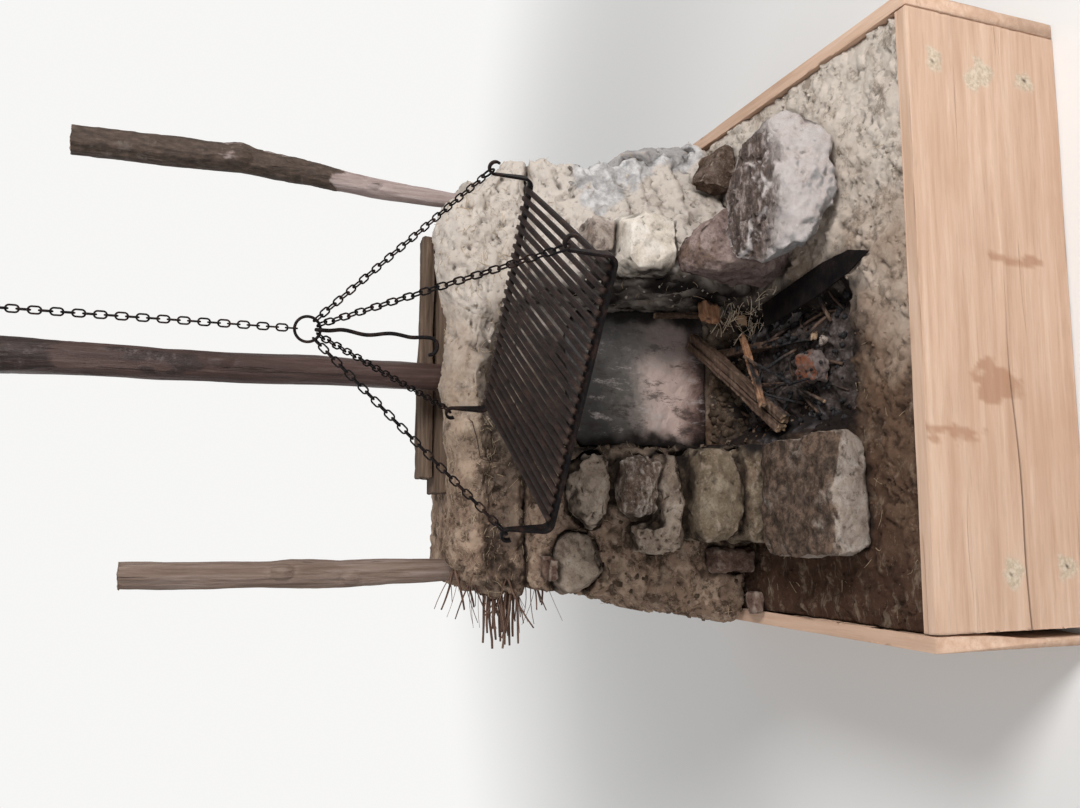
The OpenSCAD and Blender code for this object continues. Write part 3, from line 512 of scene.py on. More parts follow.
def stone_finish(name, colours, deposit=0.8, deposit_colour=(0.060, 0.038, 0.026),
                 lighter=(0.47, 0.38, 0.31), pits=1.0):
    """Stone with patches, grain and pits, painted dust and soot, and painted joint dirt and shade
    in joints and crevices.
    """
    f = Finish(name, 0.95, specular=0.12)
    patches = f.noise(0.06, 8, 0.7, twist=0.6)
    colour = f.ramp(patches, (0.34, colours[0]), (0.5, colours[1]), (0.66, colours[2]))
    grain = f.noise(0.0045, 6, 0.75)
    colour = f.mix(f.share(grain, 0.52, 0.72, 0.5), colour, lighter)
    dark = [c * 0.35 for c in colours[0]]
    colour = f.mix(f.share(grain, 0.48, 0.30, 0.65 * pits), colour, dark)
    blots = f.noise(0.022, 7, 0.75)
    colour = f.mix(f.share(blots, 0.46, 0.34, 0.6 * pits), colour, dark)
    edge = f.step(f.edges, 0.515, 0.57)
    colour = f.mix(f.math("MULTIPLY", edge, 0.5), colour, lighter)
    level = f.pushed(f.painted("dust"), f.noise(0.028, 9, 0.8), 2.2)
    cover = f.share(level, 0.10, 0.90, deposit)
    colour = f.mix(cover, colour, f.ramp(blots, (0.40, [c * 0.7 for c in deposit_colour]),
                                         (0.50, [c * 1.8 for c in deposit_colour]),
                                         (0.60, [c * 4.2 for c in deposit_colour])))
    # Painted shade and dirt in crevices, where the surface curves inwards
    crevice = f.step(f.edges, 0.492, 0.44)
    colour = f.mix(f.math("MULTIPLY", crevice, 0.8), colour, GRIME_AND_SHADE)
    colour = f.dirtied_and_shaded(colour)
    bumps = f.bump(f.noise(0.012, 8, 0.75), 0.0045)
    return f.done(colour, f.bump(grain, 0.0016, bumps))


def granite_finish():
    """Coarse pink granite with a painted grey facet and a painted dark, flaky top."""
    f = Finish("pink_granite", 0.9, specular=0.2)
    where = f.mix(0.12, f.place, f.node("TexNoise", {"Vector": f.place, "Scale": 160.0}, 1))
    tone = f.axis(f.cells(0.0040, where=where, output="Color"), "X")
    crystals = f.ramp(tone, (0.0, (0.50, 0.43, 0.41)), (0.3, (0.74, 0.65, 0.62)),
                      (0.6, (0.86, 0.77, 0.74)), (0.9, (0.93, 0.88, 0.86)))
    broad = f.noise(0.035, 8, 0.72)
    colour = f.ramp(broad, (0.34, (0.56, 0.43, 0.39)), (0.43, (0.89, 0.76, 0.70)),
                    (0.60, (0.97, 0.89, 0.85)))
    colour = f.mix(0.45, colour, crystals)
    grey = f.ramp(f.noise(0.015, 7, 0.75), (0.35, (0.34, 0.33, 0.33)), (0.65, (0.66, 0.65, 0.65)))
    colour = f.mix(f.painted("pale"), colour, grey)
    flaky = f.noise(0.012, 7, 0.75, where=f.scaled(0.35, 1, 1))
    stain = f.ramp(flaky, (0.40, (0.050, 0.031, 0.024)), (0.52, (0.17, 0.115, 0.092)),
                   (0.64, (0.52, 0.43, 0.40)))
    colour = f.mix(f.painted("dust"), colour, stain)
    # Painted shade and dirt in crevices, where the surface curves inwards
    crevice = f.step(f.edges, 0.488, 0.43)
    colour = f.mix(f.math("MULTIPLY", crevice, 0.5), colour, (0.07, 0.045, 0.035))
    colour = f.dirtied_and_shaded(colour)
    bumps = f.bump(f.noise(0.014, 9, 0.8), 0.0055)
    return f.done(colour, f.bump(tone, 0.0012, bumps))


def earth_finish(name, colour_of, straw):
    """Clay or cob; colour_of gets the finish and gives the plain colour."""
    f = Finish(name, 0.97, specular=0.05)
    colour = colour_of(f)
    grain = f.noise(0.006, 7, 0.75)
    colour = f.mix(f.step(grain, 0.42, 0.2), colour, f.mix(0.55, colour, (0.02, 0.014, 0.01)))
    colour = f.mix(f.share(grain, 0.58, 0.8, 0.5), colour, (0.62, 0.56, 0.47))
    slanted = f.node("Mapping", {"Vector": f.place, "Rotation": (0.6, 0.9, 0.4),
                                 "Scale": (6.0, 60.0, 60.0)})
    fibre = f.step(f.noise(0.22, 3, 0.6, where=slanted), 0.66, 0.74)
    colour = f.mix(f.math("MULTIPLY", fibre, straw), colour, (0.50, 0.40, 0.26))
    # Painted shade and dirt in crevices, where the surface curves inwards
    crevice = f.step(f.edges, 0.49, 0.42)
    colour = f.mix(f.math("MULTIPLY", crevice, 0.75), colour, (0.022, 0.016, 0.012))
    slab = f.ramp(f.noise(0.03, 6, 0.7), (0.40, (0.33, 0.325, 0.33)), (0.60, (0.70, 0.685, 0.68)))
    colour = f.mix(f.painted("patch"), colour, slab)
    ashes = f.ramp(f.noise(0.012, 6, 0.7), (0.35, (0.22, 0.19, 0.19)), (0.65, (0.52, 0.48, 0.50)))
    colour = f.mix(f.painted("ashen"), colour, ashes)
    colour = f.dirtied_and_shaded(colour)
    bumps = f.bump(f.noise(0.02, 8, 0.78), 0.006)
    return f.done(colour, f.bump(grain, 0.0016, bumps))


def clay_colour(f):
    """Dark brown on the left and pale and dusty on the right, partly painted light falling from
    the right, with darker blots.
    """
    across = f.axis(f.place, "X")
    broad = f.noise(0.16, 6, 0.6, twist=0.6)
    wander = f.pushed(across, broad, 0.8)
    colour = f.ramp(f.step(wander, -0.52, 0.50), (0.0, (0.072, 0.038, 0.025)),
                    (0.28, (0.170, 0.105, 0.070)), (0.55, (0.430, 0.325, 0.250)),
                    (1.0, (0.680, 0.595, 0.515)))
    streaks = f.noise(0.06, 6, 0.7, where=f.scaled(1, 2.2, 1), twist=0.5)
    colour = f.mix(f.share(streaks, 0.52, 0.66, 0.45), colour, (0.34, 0.26, 0.19))
    spots = f.noise(0.045, 7, 0.75)
    dark = f.mix(f.step(across, -0.3, 0.3), (0.045, 0.026, 0.018), (0.250, 0.190, 0.145))
    return f.mix(f.share(spots, 0.48, 0.38, 0.7), colour, dark)


def cob_colour(f):
    """Brown on the left and pale on the right, partly painted light falling from the right, with
    painted shade in hollows on the left.
    """
    across = f.axis(f.place, "X")
    broad = f.noise(0.09, 7, 0.7, twist=0.5)
    wander = f.pushed(across, broad, 0.7)
    colour = f.ramp(f.step(wander, -0.46, 0.30), (0.0, (0.290, 0.195, 0.140)),
                    (0.4, (0.380, 0.285, 0.215)), (0.72, (0.49, 0.405, 0.340)),
                    (1.0, (0.64, 0.565, 0.50)))
    pale = f.noise(0.05, 7, 0.75, where=f.scaled(1, 1, 1.6))
    colour = f.mix(f.share(pale, 0.52, 0.66, 0.5), colour, f.mix(0.5, colour, (0.70, 0.60, 0.48)))
    spots = f.noise(0.030, 7, 0.75)
    left = f.step(across, 0.05, -0.25)
    # Painted shade in holes and hollows on the left
    hole_shade = f.share(spots, 0.49, 0.40, f.math("MULTIPLY", left, 0.75))
    colour = f.mix(hole_shade, colour, (0.040, 0.026, 0.018))
    broken = f.noise(0.065, 8, 0.75)
    hollow_shade = f.share(broken, 0.52, 0.60, f.math("MULTIPLY", left, 0.7))
    colour = f.mix(hollow_shade, colour, (0.070, 0.046, 0.032))
    lumps = f.share(broken, 0.48, 0.40, f.math("MULTIPLY", left, 0.7))
    colour = f.mix(lumps, colour, (0.52, 0.385, 0.285))
    worn = f.share(f.noise(0.022, 8, 0.78), 0.46, 0.38, f.share(across, 0.0, 0.25, 0.6))
    return f.mix(worn, colour, (0.300, 0.245, 0.205))


def mortar_colour(f):
    """Brown daub, blackened in places."""
    broad = f.noise(0.05, 7, 0.75)
    return f.ramp(broad, (0.38, (0.045, 0.030, 0.021)), (0.52, (0.125, 0.088, 0.062)),
                  (0.66, (0.27, 0.205, 0.152)))


def timber_finish(name, colours, along, ring=0.012, rough=0.75, dents=0.0008, crack=0.5,
                  crack_colour=(0.03, 0.018, 0.012)):
    """Wood whose grain runs along one axis."""
    f = Finish(name, rough, specular=0.25)
    long_grain, patch_grain = (f.scaled(*squeezed(along, share)) for share in (0.05, 0.18))
    lines = f.noise(ring, 6, 0.65, where=long_grain, twist=0.3)
    patches = f.noise(0.06, 5, 0.6, where=patch_grain)
    colour = f.ramp(lines, (0.30, colours[0]), (0.5, colours[1]), (0.72, colours[2]))
    colour = f.mix(f.share(patches, 0.45, 0.7, 0.55), colour, colours[0])
    thin = f.noise(ring * 0.25, 4, 0.7, where=long_grain)
    split = f.step(f.noise(ring * 1.6, 2, 0.5, where=long_grain), 0.665, 0.70)
    colour = f.mix(f.math("MULTIPLY", split, crack), colour, crack_colour)
    colour = f.mix(f.share(thin, 0.5, 0.75, 0.35), colour, [c * 0.6 for c in colours[1]])
    relief = f.bump(lines, dents * 2)
    relief = f.bump(f.math("MULTIPLY", split, -1.0), dents * 3, relief)
    return f, colour, f.bump(thin, dents, relief)


def iron_finish(name, rusted):
    """Forged iron, worn brown on its edges."""
    f = Finish(name, 0.6, metal=0.1, specular=0.10)
    broad = f.noise(0.03, 6, 0.7)
    fine = f.noise(0.003, 6, 0.7)
    colour = f.ramp(broad, (0.35, (0.005, 0.004, 0.005)), (0.55, (0.010, 0.008, 0.008)),
                    (0.75, (0.020, 0.016, 0.015)))
    rust = f.step(f.math("ADD", f.math("MULTIPLY", broad, 0.6), f.math(
        "MULTIPLY", fine, 0.5)), 0.54, 0.64)
    colour = f.mix(f.math("MULTIPLY", rust, rusted), colour, (0.045, 0.021, 0.014))
    worn = f.step(f.edges, 0.53, 0.62)
    colour = f.mix(f.math("MULTIPLY", worn, 0.4), colour, (0.11, 0.070, 0.055))
    rough = f.node("MapRange", {"Value": fine, "To Min": 0.40, "To Max": 0.75})
    return f.done(colour, f.bump(fine, 0.0007, f.bump(broad, 0.0012)), rough)


def pine_finish(name, along):
    """Sawn boards, with painted shade in the split, filler, nail heads and brown stains."""
    f, colour, normal = timber_finish(
        name, [(0.51, 0.325, 0.225), (0.61, 0.415, 0.300), (0.70, 0.510, 0.390)], along,
        ring=0.016, dents=0.0003, crack=0.2, crack_colour=(0.42, 0.25, 0.16))
    shade = f.noise(0.30, 4, 0.6, where=f.scaled(1, 1, 1.6))
    colour = f.mix(f.share(shade, 0.5, 0.3, 0.35), colour, (0.52, 0.32, 0.21))
    colour = f.mix(f.painted("stain"), colour, (0.33, 0.15, 0.075))
    filler = f.ramp(f.noise(0.008, 5, 0.7), (0.4, (0.44, 0.36, 0.26)), (0.6, (0.66, 0.57, 0.45)))
    colour = f.mix(f.painted("filler"), colour, filler)
    # The painted mark: shade along the split, and dark nail heads
    colour = f.mix(f.painted("mark"), colour, (0.030, 0.018, 0.012))
    return f.done(colour, normal)


def simple_wood(name, colours, along, **more):
    f, colour, normal = timber_finish(name, colours, along, **more)
    return f.done(colour, normal)


def bark_finish(name, wood, bark, lichen=(0.30, 0.27, 0.24), rough=0.7):
    """A pole with painted bark left on it and a painted cut end."""
    f, colour, normal = timber_finish(name, wood, 2, ring=0.010, rough=rough)
    scale = f.noise(0.010, 6, 0.7, where=f.scaled(1, 1, 0.45))
    skin = f.ramp(scale, (0.35, [c * 0.5 for c in bark]), (0.55, bark),
                  (0.75, [min(1, c * 1.8) for c in bark]))
    skin = f.mix(f.step(f.noise(0.05, 5, 0.7), 0.56, 0.7), skin, lichen)
    colour = f.mix(f.painted("bark"), colour, skin)
    sawn = f.ramp(f.noise(0.004, 4, 0.7), (0.35, (0.26, 0.17, 0.105)), (0.65, (0.43, 0.31, 0.20)))
    colour = f.mix(f.painted("cut"), colour, sawn)
    return f.done(colour, f.bump(scale, 0.002, normal))


def char_finish(name, wood):
    """Firewood with painted charcoal and painted sawn ends."""
    f, colour, normal = timber_finish(name, wood, 0, ring=0.008, dents=0.0012)
    blocks = f.cells(0.012, "DISTANCE_TO_EDGE")
    coal = f.mix(f.step(blocks, 0.0, 0.12), (0.008, 0.007, 0.007), (0.032, 0.029, 0.030))
    coal = f.mix(f.share(f.noise(0.02, 6, 0.7), 0.6, 0.75, 0.5), coal, (0.20, 0.17, 0.15))
    colour = f.mix(f.painted("cut"), colour, (0.42, 0.28, 0.18))
    colour = f.mix(f.painted("char"), colour, coal)
    return f.done(colour, f.bump(blocks, 0.001, normal))


def ash_finish():
    """Ash and cinders, paler where painted."""
    f = Finish("ash", 0.97, specular=0.05)
    patches = f.noise(0.03, 7, 0.7)
    colour = f.ramp(patches, (0.36, (0.018, 0.014, 0.013)), (0.52, (0.060, 0.046, 0.041)),
                    (0.72, (0.20, 0.17, 0.16)))
    pale = f.ramp(f.noise(0.010, 6, 0.7), (0.35, (0.20, 0.17, 0.17)), (0.65, (0.50, 0.46, 0.47)))
    colour = f.mix(f.painted("ashen"), colour, pale)
    return f.done(colour, f.bump(f.noise(0.006, 7, 0.75), 0.002))


def rusty_finish():
    """The clinker in the fire: grey with an orange, rusty top."""
    f = Finish("clinker", 0.9)
    broad = f.noise(0.025, 6, 0.7)
    colour = f.ramp(broad, (0.35, (0.060, 0.045, 0.040)), (0.6, (0.21, 0.165, 0.15)))
    up = f.step(f.axis(f.normal, "Z"), 0.2, 0.8)
    rust = f.mix(f.step(broad, 0.4, 0.6), (0.20, 0.066, 0.032), (0.11, 0.055, 0.038))
    colour = f.mix(f.math("MULTIPLY", up, f.step(f.noise(0.02, 5, 0.7), 0.40, 0.55)), colour, rust)
    return f.done(colour, f.bump(f.noise(0.008, 7, 0.75), 0.002))


def fireback_finish():
    """A slab that is dark above and below and pale at mid height, where the pale band is painted
    light falling on it.
    """
    f = Finish("fireback_stone", 0.9, specular=0.1)
    up, across = f.axis(f.place, "Z"), f.axis(f.place, "X")
    broad = f.noise(0.10, 7, 0.7, twist=0.6)
    level = f.pushed(up, broad, 0.14)
    # Painted light: pale in a band at mid height, darker above and below
    colour = f.ramp(f.step(level, 0.36, 0.70), (0.0, (0.050, 0.030, 0.025)),
                    (0.03, (0.28, 0.180, 0.155)), (0.10, (0.66, 0.490, 0.430)),
                    (0.36, (0.58, 0.450, 0.400)), (0.52, (0.29, 0.240, 0.215)),
                    (0.68, (0.135, 0.122, 0.110)), (0.86, (0.075, 0.070, 0.066)))
    wash = f.noise(0.03, 7, 0.75, where=f.scaled(1, 1, 0.35))
    colour = f.mix(f.share(wash, 0.52, 0.66, 0.6), colour, (0.62, 0.53, 0.50))
    colour = f.mix(f.share(wash, 0.47, 0.36, 0.75), colour, (0.060, 0.046, 0.043))
    right = f.step(f.math("ADD", across, f.math("MULTIPLY", broad, 0.12)), 0.03, 0.12)
    colour = f.mix(f.math("MULTIPLY", right, 0.6), colour, (0.115, 0.108, 0.105))
    colour = f.mix(f.painted("soot_and_shade"), colour, SOOT_AND_SHADE)
    return f.done(colour, f.bump(f.noise(0.012, 8, 0.75), 0.004))


LOOKS = [
    # how it is made, name, dark, middle and light colour, other values
    (stone_finish, "dark_stone", (0.22, 0.165, 0.130), (0.36, 0.29, 0.24), (0.50, 0.44, 0.39),
     {"deposit": 0.94, "deposit_colour": (0.042, 0.027, 0.019)}),
    (stone_finish, "olive_stone", (0.115, 0.082, 0.052), (0.21, 0.158, 0.108),
     (0.34, 0.275, 0.20), {"deposit": 0.75}),
    (stone_finish, "purple_stone", (0.140, 0.090, 0.080), (0.265, 0.190, 0.172),
     (0.43, 0.335, 0.305), {"deposit": 0.7}),
    (stone_finish, "tan_stone", (0.20, 0.145, 0.110), (0.34, 0.262, 0.203),
     (0.50, 0.415, 0.340), {"deposit": 0.6}),
    (stone_finish, "plaster_stone", (0.54, 0.460, 0.375), (0.74, 0.655, 0.560),
     (0.85, 0.780, 0.700), {"deposit": 0.15, "lighter": (0.90, 0.84, 0.76), "pits": 0.6}),
    (stone_finish, "red_stone", (0.090, 0.048, 0.036), (0.165, 0.100, 0.078),
     (0.26, 0.180, 0.145), {"deposit": 0.5}),
    (stone_finish, "pale_stone", (0.18, 0.135, 0.110), (0.40, 0.330, 0.285),
     (0.66, 0.59, 0.53), {"deposit": 0.55}),
    (stone_finish, "flaky_stone", (0.080, 0.052, 0.040), (0.19, 0.135, 0.105),
     (0.60, 0.51, 0.44), {"deposit": 0.5, "lighter": (0.72, 0.63, 0.55)}),
    (stone_finish, "brown_stone", (0.045, 0.027, 0.020), (0.090, 0.058, 0.042),
     (0.19, 0.140, 0.115), {"deposit": 0.5}),
    (stone_finish, "blue_grey_stone", (0.30, 0.28, 0.275), (0.42, 0.40, 0.39),
     (0.55, 0.53, 0.51), {"deposit": 0.15}),
    (simple_wood, "split_log", (0.055, 0.034, 0.023), (0.125, 0.082, 0.056),
     (0.24, 0.170, 0.120), {"along": 0, "dents": 0.0012}),
    (simple_wood, "arm_wood", (0.10, 0.062, 0.040), (0.17, 0.110, 0.074),
     (0.25, 0.175, 0.125), {"along": 1, "dents": 0.0012}),
    (bark_finish, "grey_pole_wood", (0.14, 0.090, 0.066), (0.24, 0.170, 0.135),
     (0.34, 0.27, 0.235), {"bark": (0.09, 0.055, 0.040)}),
    (bark_finish, "red_pole_wood", (0.040, 0.022, 0.018), (0.072, 0.040, 0.033),
     (0.125, 0.082, 0.072),
     {"bark": (0.035, 0.020, 0.016), "lichen": (0.12, 0.09, 0.085), "rough": 0.42}),
    (bark_finish, "bark_pole_wood", (0.22, 0.155, 0.135), (0.36, 0.28, 0.26),
     (0.47, 0.39, 0.37), {"bark": (0.080, 0.055, 0.042), "lichen": (0.13, 0.10, 0.085)}),
    (simple_wood, "twigs", (0.070, 0.036, 0.025), (0.15, 0.084, 0.058), (0.27, 0.180, 0.130),
     {"along": 0}),
    (simple_wood, "straw", (0.34, 0.240, 0.150), (0.50, 0.380, 0.250), (0.68, 0.56, 0.40),
     {"along": 0, "ring": 0.004, "crack": 0.1}),
    # Straw for the tangle, paler than the other straw: painted light on straw that lies in shade
    (simple_wood, "bright_straw", (0.78, 0.58, 0.40), (0.92, 0.76, 0.58), (0.97, 0.90, 0.77),
     {"along": 0, "ring": 0.004, "crack": 0.1}),
    (char_finish, "burnt_wood", (0.055, 0.031, 0.021), (0.115, 0.070, 0.048),
     (0.22, 0.150, 0.108), {}),
    (char_finish, "orange_wood", (0.24, 0.105, 0.055), (0.42, 0.215, 0.120),
     (0.56, 0.35, 0.22), {}),
]
M = {name: make(name, colours, **more) for make, name, *colours, more in LOOKS}
M.update({
    "pink_granite": granite_finish(),
    "fireback_stone": fireback_finish(),
    "sooty_clay": earth_finish("sooty_clay", clay_colour, 0.3),
    "cob": earth_finish("cob", cob_colour, 0.5),
    "mortar": earth_finish("mortar", mortar_colour, 0.3),
    "fresh_pine": pine_finish("fresh_pine", 0),
    "side_pine": pine_finish("side_pine", 1),
    "forged_iron": iron_finish("forged_iron", 0.6),
    "blade_iron": iron_finish("blade_iron", 0.12),
    "ash": ash_finish(),
    "clinker": rusty_finish(),
})


def finished(obj, material, nodes=(), body="hearth"):
    """Gives a piece its material and its body, and hides the CAD nodes that it stands for."""
    obj.data.materials.clear()
    obj.data.materials.append(M[material])
    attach(obj, body)
    if nodes:
        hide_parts(*nodes)
    return obj


# Stones

def chipped(obj, seed, chips, depth, rough, layers=0.0, tilt=(0, 0, 1), facet=0.0, span=0.05):
    """Cuts flat chips off a rounded body, breaks it into facets and roughens it."""
    rng = np.random.default_rng(seed)
    p = get_points(obj)
    centre, half = middle_of(p), np.ptp(p, axis=0) / 2
    for _ in range(chips):
        d = rng.normal(size=3) / half
        d /= np.linalg.norm(d)
        reach = (p - centre) @ d
        level = reach.max() - depth * rng.uniform(0.25, 1.0)
        over = np.maximum(0, reach - level)
        p = p - over[:, None] * d * 0.93
    set_points(obj, p)
    n = get_normals(obj)
    push = rough * (fractal(p, 0.035, 5, seed, 0.65) - 0.7)
    push -= rough * 1.2 * smooth(ridged(p, 0.05, 2, seed + 50), 0.62, 0.75)
    if facet:
        push += facet * (facets(p, span, seed + 60) + 0.4 * facets(p, span * 0.4, seed + 70) - 0.1)
    if layers:
        t = np.asarray(tilt, float)
        t /= np.linalg.norm(t)
        bed = (p @ t) / layers + 0.8 * fractal(p, 0.08, 3, seed + 20)
        saw = bed - np.floor(bed)
        push -= 0.0045 * smooth(saw, 0.55, 1.0) * (1 - np.abs(n @ t))
    set_points(obj, p + n * push[:, None])
    return obj


STONES = [
    # node, seed, chips, their depth, roughness, layers, their tilt, facets, their span, top dust
    ("left_block", 11, 24, 0.010, 0.0030, 0, (0, 0, 1), 0.004, 0.060, 0.25),
    ("left_base_stone", 12, 16, 0.012, 0.0030, 0, (0, 0, 1), 0.005, 0.05, -0.3),
    ("left_olive_stone", 13, 24, 0.016, 0.0028, 0, (0.1, 0, 1), 0.006, 0.06, -0.6),
    ("left_split_stone", 14, 24, 0.013, 0.0034, 0.018, (0.25, 0.1, 1), 0.007, 0.045, -0.4),
    ("left_flaky_stone", 15, 18, 0.010, 0.0032, 0.011, (-0.15, 0.1, 1), 0.006, 0.045, -0.3),
    ("left_grey_stone", 16, 24, 0.014, 0.0036, 0.024, (0.1, 0, 1), 0.007, 0.05, -0.9),
    ("left_tan_stone", 17, 24, 0.012, 0.0032, 0, (0, 0, 1), 0.006, 0.05, -0.6),
    ("left_small_stones", 18, 10, 0.004, 0.0022, 0, (0, 0, 1), 0.004, 0.03, -0.5),
    ("right_boulder", 21, 30, 0.012, 0.0036, 0, (0, 0, 1), 0.010, 0.080, 0),
    ("right_purple_stone", 22, 24, 0.018, 0.0032, 0, (0.7, 0, 0.7), 0.008, 0.07, -0.2),
    ("right_tan_stone", 23, 34, 0.013, 0.0022, 0, (0, 0, 1), 0.002, 0.05, -0.7),
    ("right_pale_stone", 24, 18, 0.008, 0.0030, 0, (0, 0, 1), 0.005, 0.04, -0.4),
    ("right_wedge_stone", 25, 20, 0.010, 0.0030, 0, (0.6, 0, 0.8), 0.006, 0.05, -0.2),
    ("right_outer_stones", 26, 24, 0.014, 0.0030, 0, (0, 0, 1), 0.007, 0.06, -0.3),
]
SOOTY = {"left_block": 0.6, "right_boulder": 0.3, "right_purple_stone": 0.6}
DRESSED = {"right_tan_stone": "plaster_stone", "left_small_stones": "red_stone",
           "left_split_stone": "tan_stone", "left_flaky_stone": "flaky_stone"}


def boulder_top(obj):
    """Flaky ridges on the boulder's dark top, and a grey facet at its lower left."""
    p, n = get_points(obj), get_normals(obj)
    high = smooth(p[:, 2], p[:, 2].max() - 0.085, p[:, 2].max() - 0.045)
    top = high * smooth(n[:, 2] + 0.25 * fractal(p, 0.05, 4, 61), 0.30, 0.65)
    shelf = (p[:, 2] - 0.25 * p[:, 1]) / 0.011 + 1.6 * fractal(p * (0.4, 1, 1), 0.05, 4, 62, 0.6)
    saw = shelf - np.floor(shelf)
    p = p - n * (top * 0.006 * smooth(saw, 0.25, 1.0))[:, None]
    set_points(obj, p)
    paint(obj, "dust", 0.95 * top)
    side = -0.85 * n[:, 0] - 0.35 * n[:, 1] - 0.35 * n[:, 2]
    paint(obj, "pale", 0.9 * smooth(side + 0.25 * fractal(p, 0.06, 4, 63), 0.50, 0.74) * (1 - top))


def stone_pieces():
    """Every stone of the cheeks, solid by solid."""
    made = []
    for node, seed, chips, depth, rough, layers, tilt, facet, span, extra in STONES:
        for index in range(len(solids(node))):
            piece = from_nodes("%s_piece_%d" % (node, index), [node], 0.0036, 2, pick=[index])
            own = seed + 100 * index
            chipped(piece, own, chips, depth, rough, layers, tilt, facet, span)
            p, n = get_points(piece), get_normals(piece)
            if node == "right_boulder":
                boulder_top(piece)
            else:
                dust = n[:, 2] + extra + 0.5 * fractal(p, 0.055, 5, own + 31, 0.6)
                paint(piece, "dust", smooth(dust, 0.0, 1.3))
            paint(piece, "soot_and_shade", SOOTY.get(node, 1.0) * sooted(p, 0.050))
            made.append(finished(piece, DRESSED.get(node, SLOT_OF[node]), [node]))
    return made


stones = stone_pieces()


def mortar_piece(name, nodes, seed, back, material):
    """Daub between stacked stones: their own bodies drawn in, set back and run together."""
    parts = []
    for pts, faces in solids(*nodes):
        centre = middle_of(pts)
        parts.append(((pts - centre) * (0.93, 0.93, 1.0) + centre + (0, back, -0.012), faces))
    obj = even(joined(name, parts), 0.0052, 4)
    p, n = get_points(obj), get_normals(obj)
    push = 0.010 * (fractal(p, 0.040, 4, seed, 0.65) - 0.35)
    push += 0.009 * facets(p, 0.028, seed + 2)
    push += 0.003 * fractal(p, 0.012, 3, seed + 5, 0.6)
    p = p + n * push[:, None]
    p[:, 2] = np.maximum(p[:, 2], BED_TOP)
    set_points(obj, p)
    paint(obj, "soot_and_shade", sooted(p, 0.11))
    return finished(obj, material)


left_daub = mortar_piece("left_daub", ["left_base_stone", "left_olive_stone", "left_split_stone",
                                       "left_flaky_stone", "left_grey_stone"], 71, 0.032,
                         "mortar")
right_daub = mortar_piece("right_daub", ["right_tan_stone", "right_pale_stone"], 72, 0.020, "cob")


# Cob and clay

def cob_piece(node, seed, voxel, wave, flakes, rough, facet=0.0):
    """Cob laid in wavy courses, with smeared, flaking layers and a few deep cracks."""
    obj = from_nodes(node + "_cob", [node], voxel, 1)
    p, n = get_points(obj), get_normals(obj)
    push = wave * (ridged(p * (0.5, 0.5, 1.5), 0.075, 3, seed) - 0.72)
    layer = 3.0 * fractal(p * (0.7, 0.7, 1.3), 0.085, 4, seed + 9, 0.55)
    edge = np.floor(layer) + smooth(layer - np.floor(layer), 0.7, 1.0)
    push += flakes * np.clip(edge, -2, 2)
    push += rough * fractal(p, 0.020, 4, seed + 3, 0.65)
    push += facet * facets(p, 0.045, seed + 40)
    push -= 0.006 * smooth(ridged(p * (0.8, 0.8, 1.3), 0.12, 2, seed + 30), 0.700, 0.745)
    crumbling = smooth(noise(p, 0.11, seed + 45), 0.0, 0.4)
    push -= 0.006 * crumbling * smooth(ridged(p, 0.045, 3, seed + 47), 0.66, 0.76)
    steep = 1 - 0.5 * np.abs(n[:, 2])
    p = p + n * (np.minimum(push, 0.007) * steep)[:, None]
    p[:, 0] = np.maximum(p[:, 0], LEFT_LIMIT)
    set_points(obj, p)
    paint(obj, "soot_and_shade", sooted(p, 0.09))
    return finished(obj, "cob", nodes=[node])


left_cob = cob_piece("left_cob_wall", 31, 0.0044, 0.010, 0.0034, 0.0045, 0.014)
right_cob = cob_piece("right_cob_wall", 32, 0.0044, 0.003, 0.0030, 0.0050, 0.013)
mantel = cob_piece("mantel", 33, 0.0040, 0.013, 0.0046, 0.0046, 0.010)
ledge = cob_piece("mantel_ledge", 34, 0.0062, 0.007, 0.0030, 0.0040)
cob_piece("back_wall", 35, 0.0066, 0.007, 0.0030, 0.0040)


BROW_Z = 0.902


def droop(obj):
    """Lets the mantel's brow hang down in lobes, and paints soot and shade into the hollow under
    it.
    """
    p = get_points(obj)
    front = smooth(p[:, 1], 0.160, 0.135)
    at = p * (1, 0, 0)
    lobes = np.maximum(0, noise(at, 0.055, 77) + 0.5 * noise(at, 0.023, 78))
    lip = np.exp(-((p[:, 2] - BROW_Z) / 0.020) ** 2) * front * smooth(p[:, 0], 0.14, 0.06)
    p[:, 2] -= 0.016 * lobes * lip
    p[:, 1] -= 0.005 * lobes * lip
    set_points(obj, p)
    level = p[:, 2] + 0.012 * fractal(p, 0.05, 4, 79)
    hollow = (smooth(level, 0.925, 0.895) * smooth(p[:, 0], 0.19, 0.02)
              * smooth(p[:, 1], 0.112, 0.128))
    broken = smooth(fractal(p, 0.035, 5, 80, 0.65), -0.7, 0.3)
    # Painted soot, and painted shade in the hollow under the brow
    paint(obj, "soot_and_shade", np.maximum(sooted(p, 0.09), 0.62 * hollow * (0.3 + 0.7 * broken)))


droop(mantel)


def patches(obj, places, seed):
    """Paints bare stones that show through the plaster."""
    p = get_points(obj)
    near = np.full(len(p), 9.0)
    for start, end, width in places:
        near = np.minimum(near, along_line(p, start, end) / width)
    near += 0.45 * fractal(p, 0.05, 4, seed)
    paint(obj, "patch", 0.85 * smooth(near, 1.1, 0.8))


patches(right_cob, [((0.30, -0.04, 0.76), (0.345, -0.04, 0.70), 0.030),
                    ((0.35, 0.02, 0.67), (0.45, 0.04, 0.58), 0.035),
                    ((0.43, 0.06, 0.66), (0.52, 0.08, 0.43), 0.050)], 88)

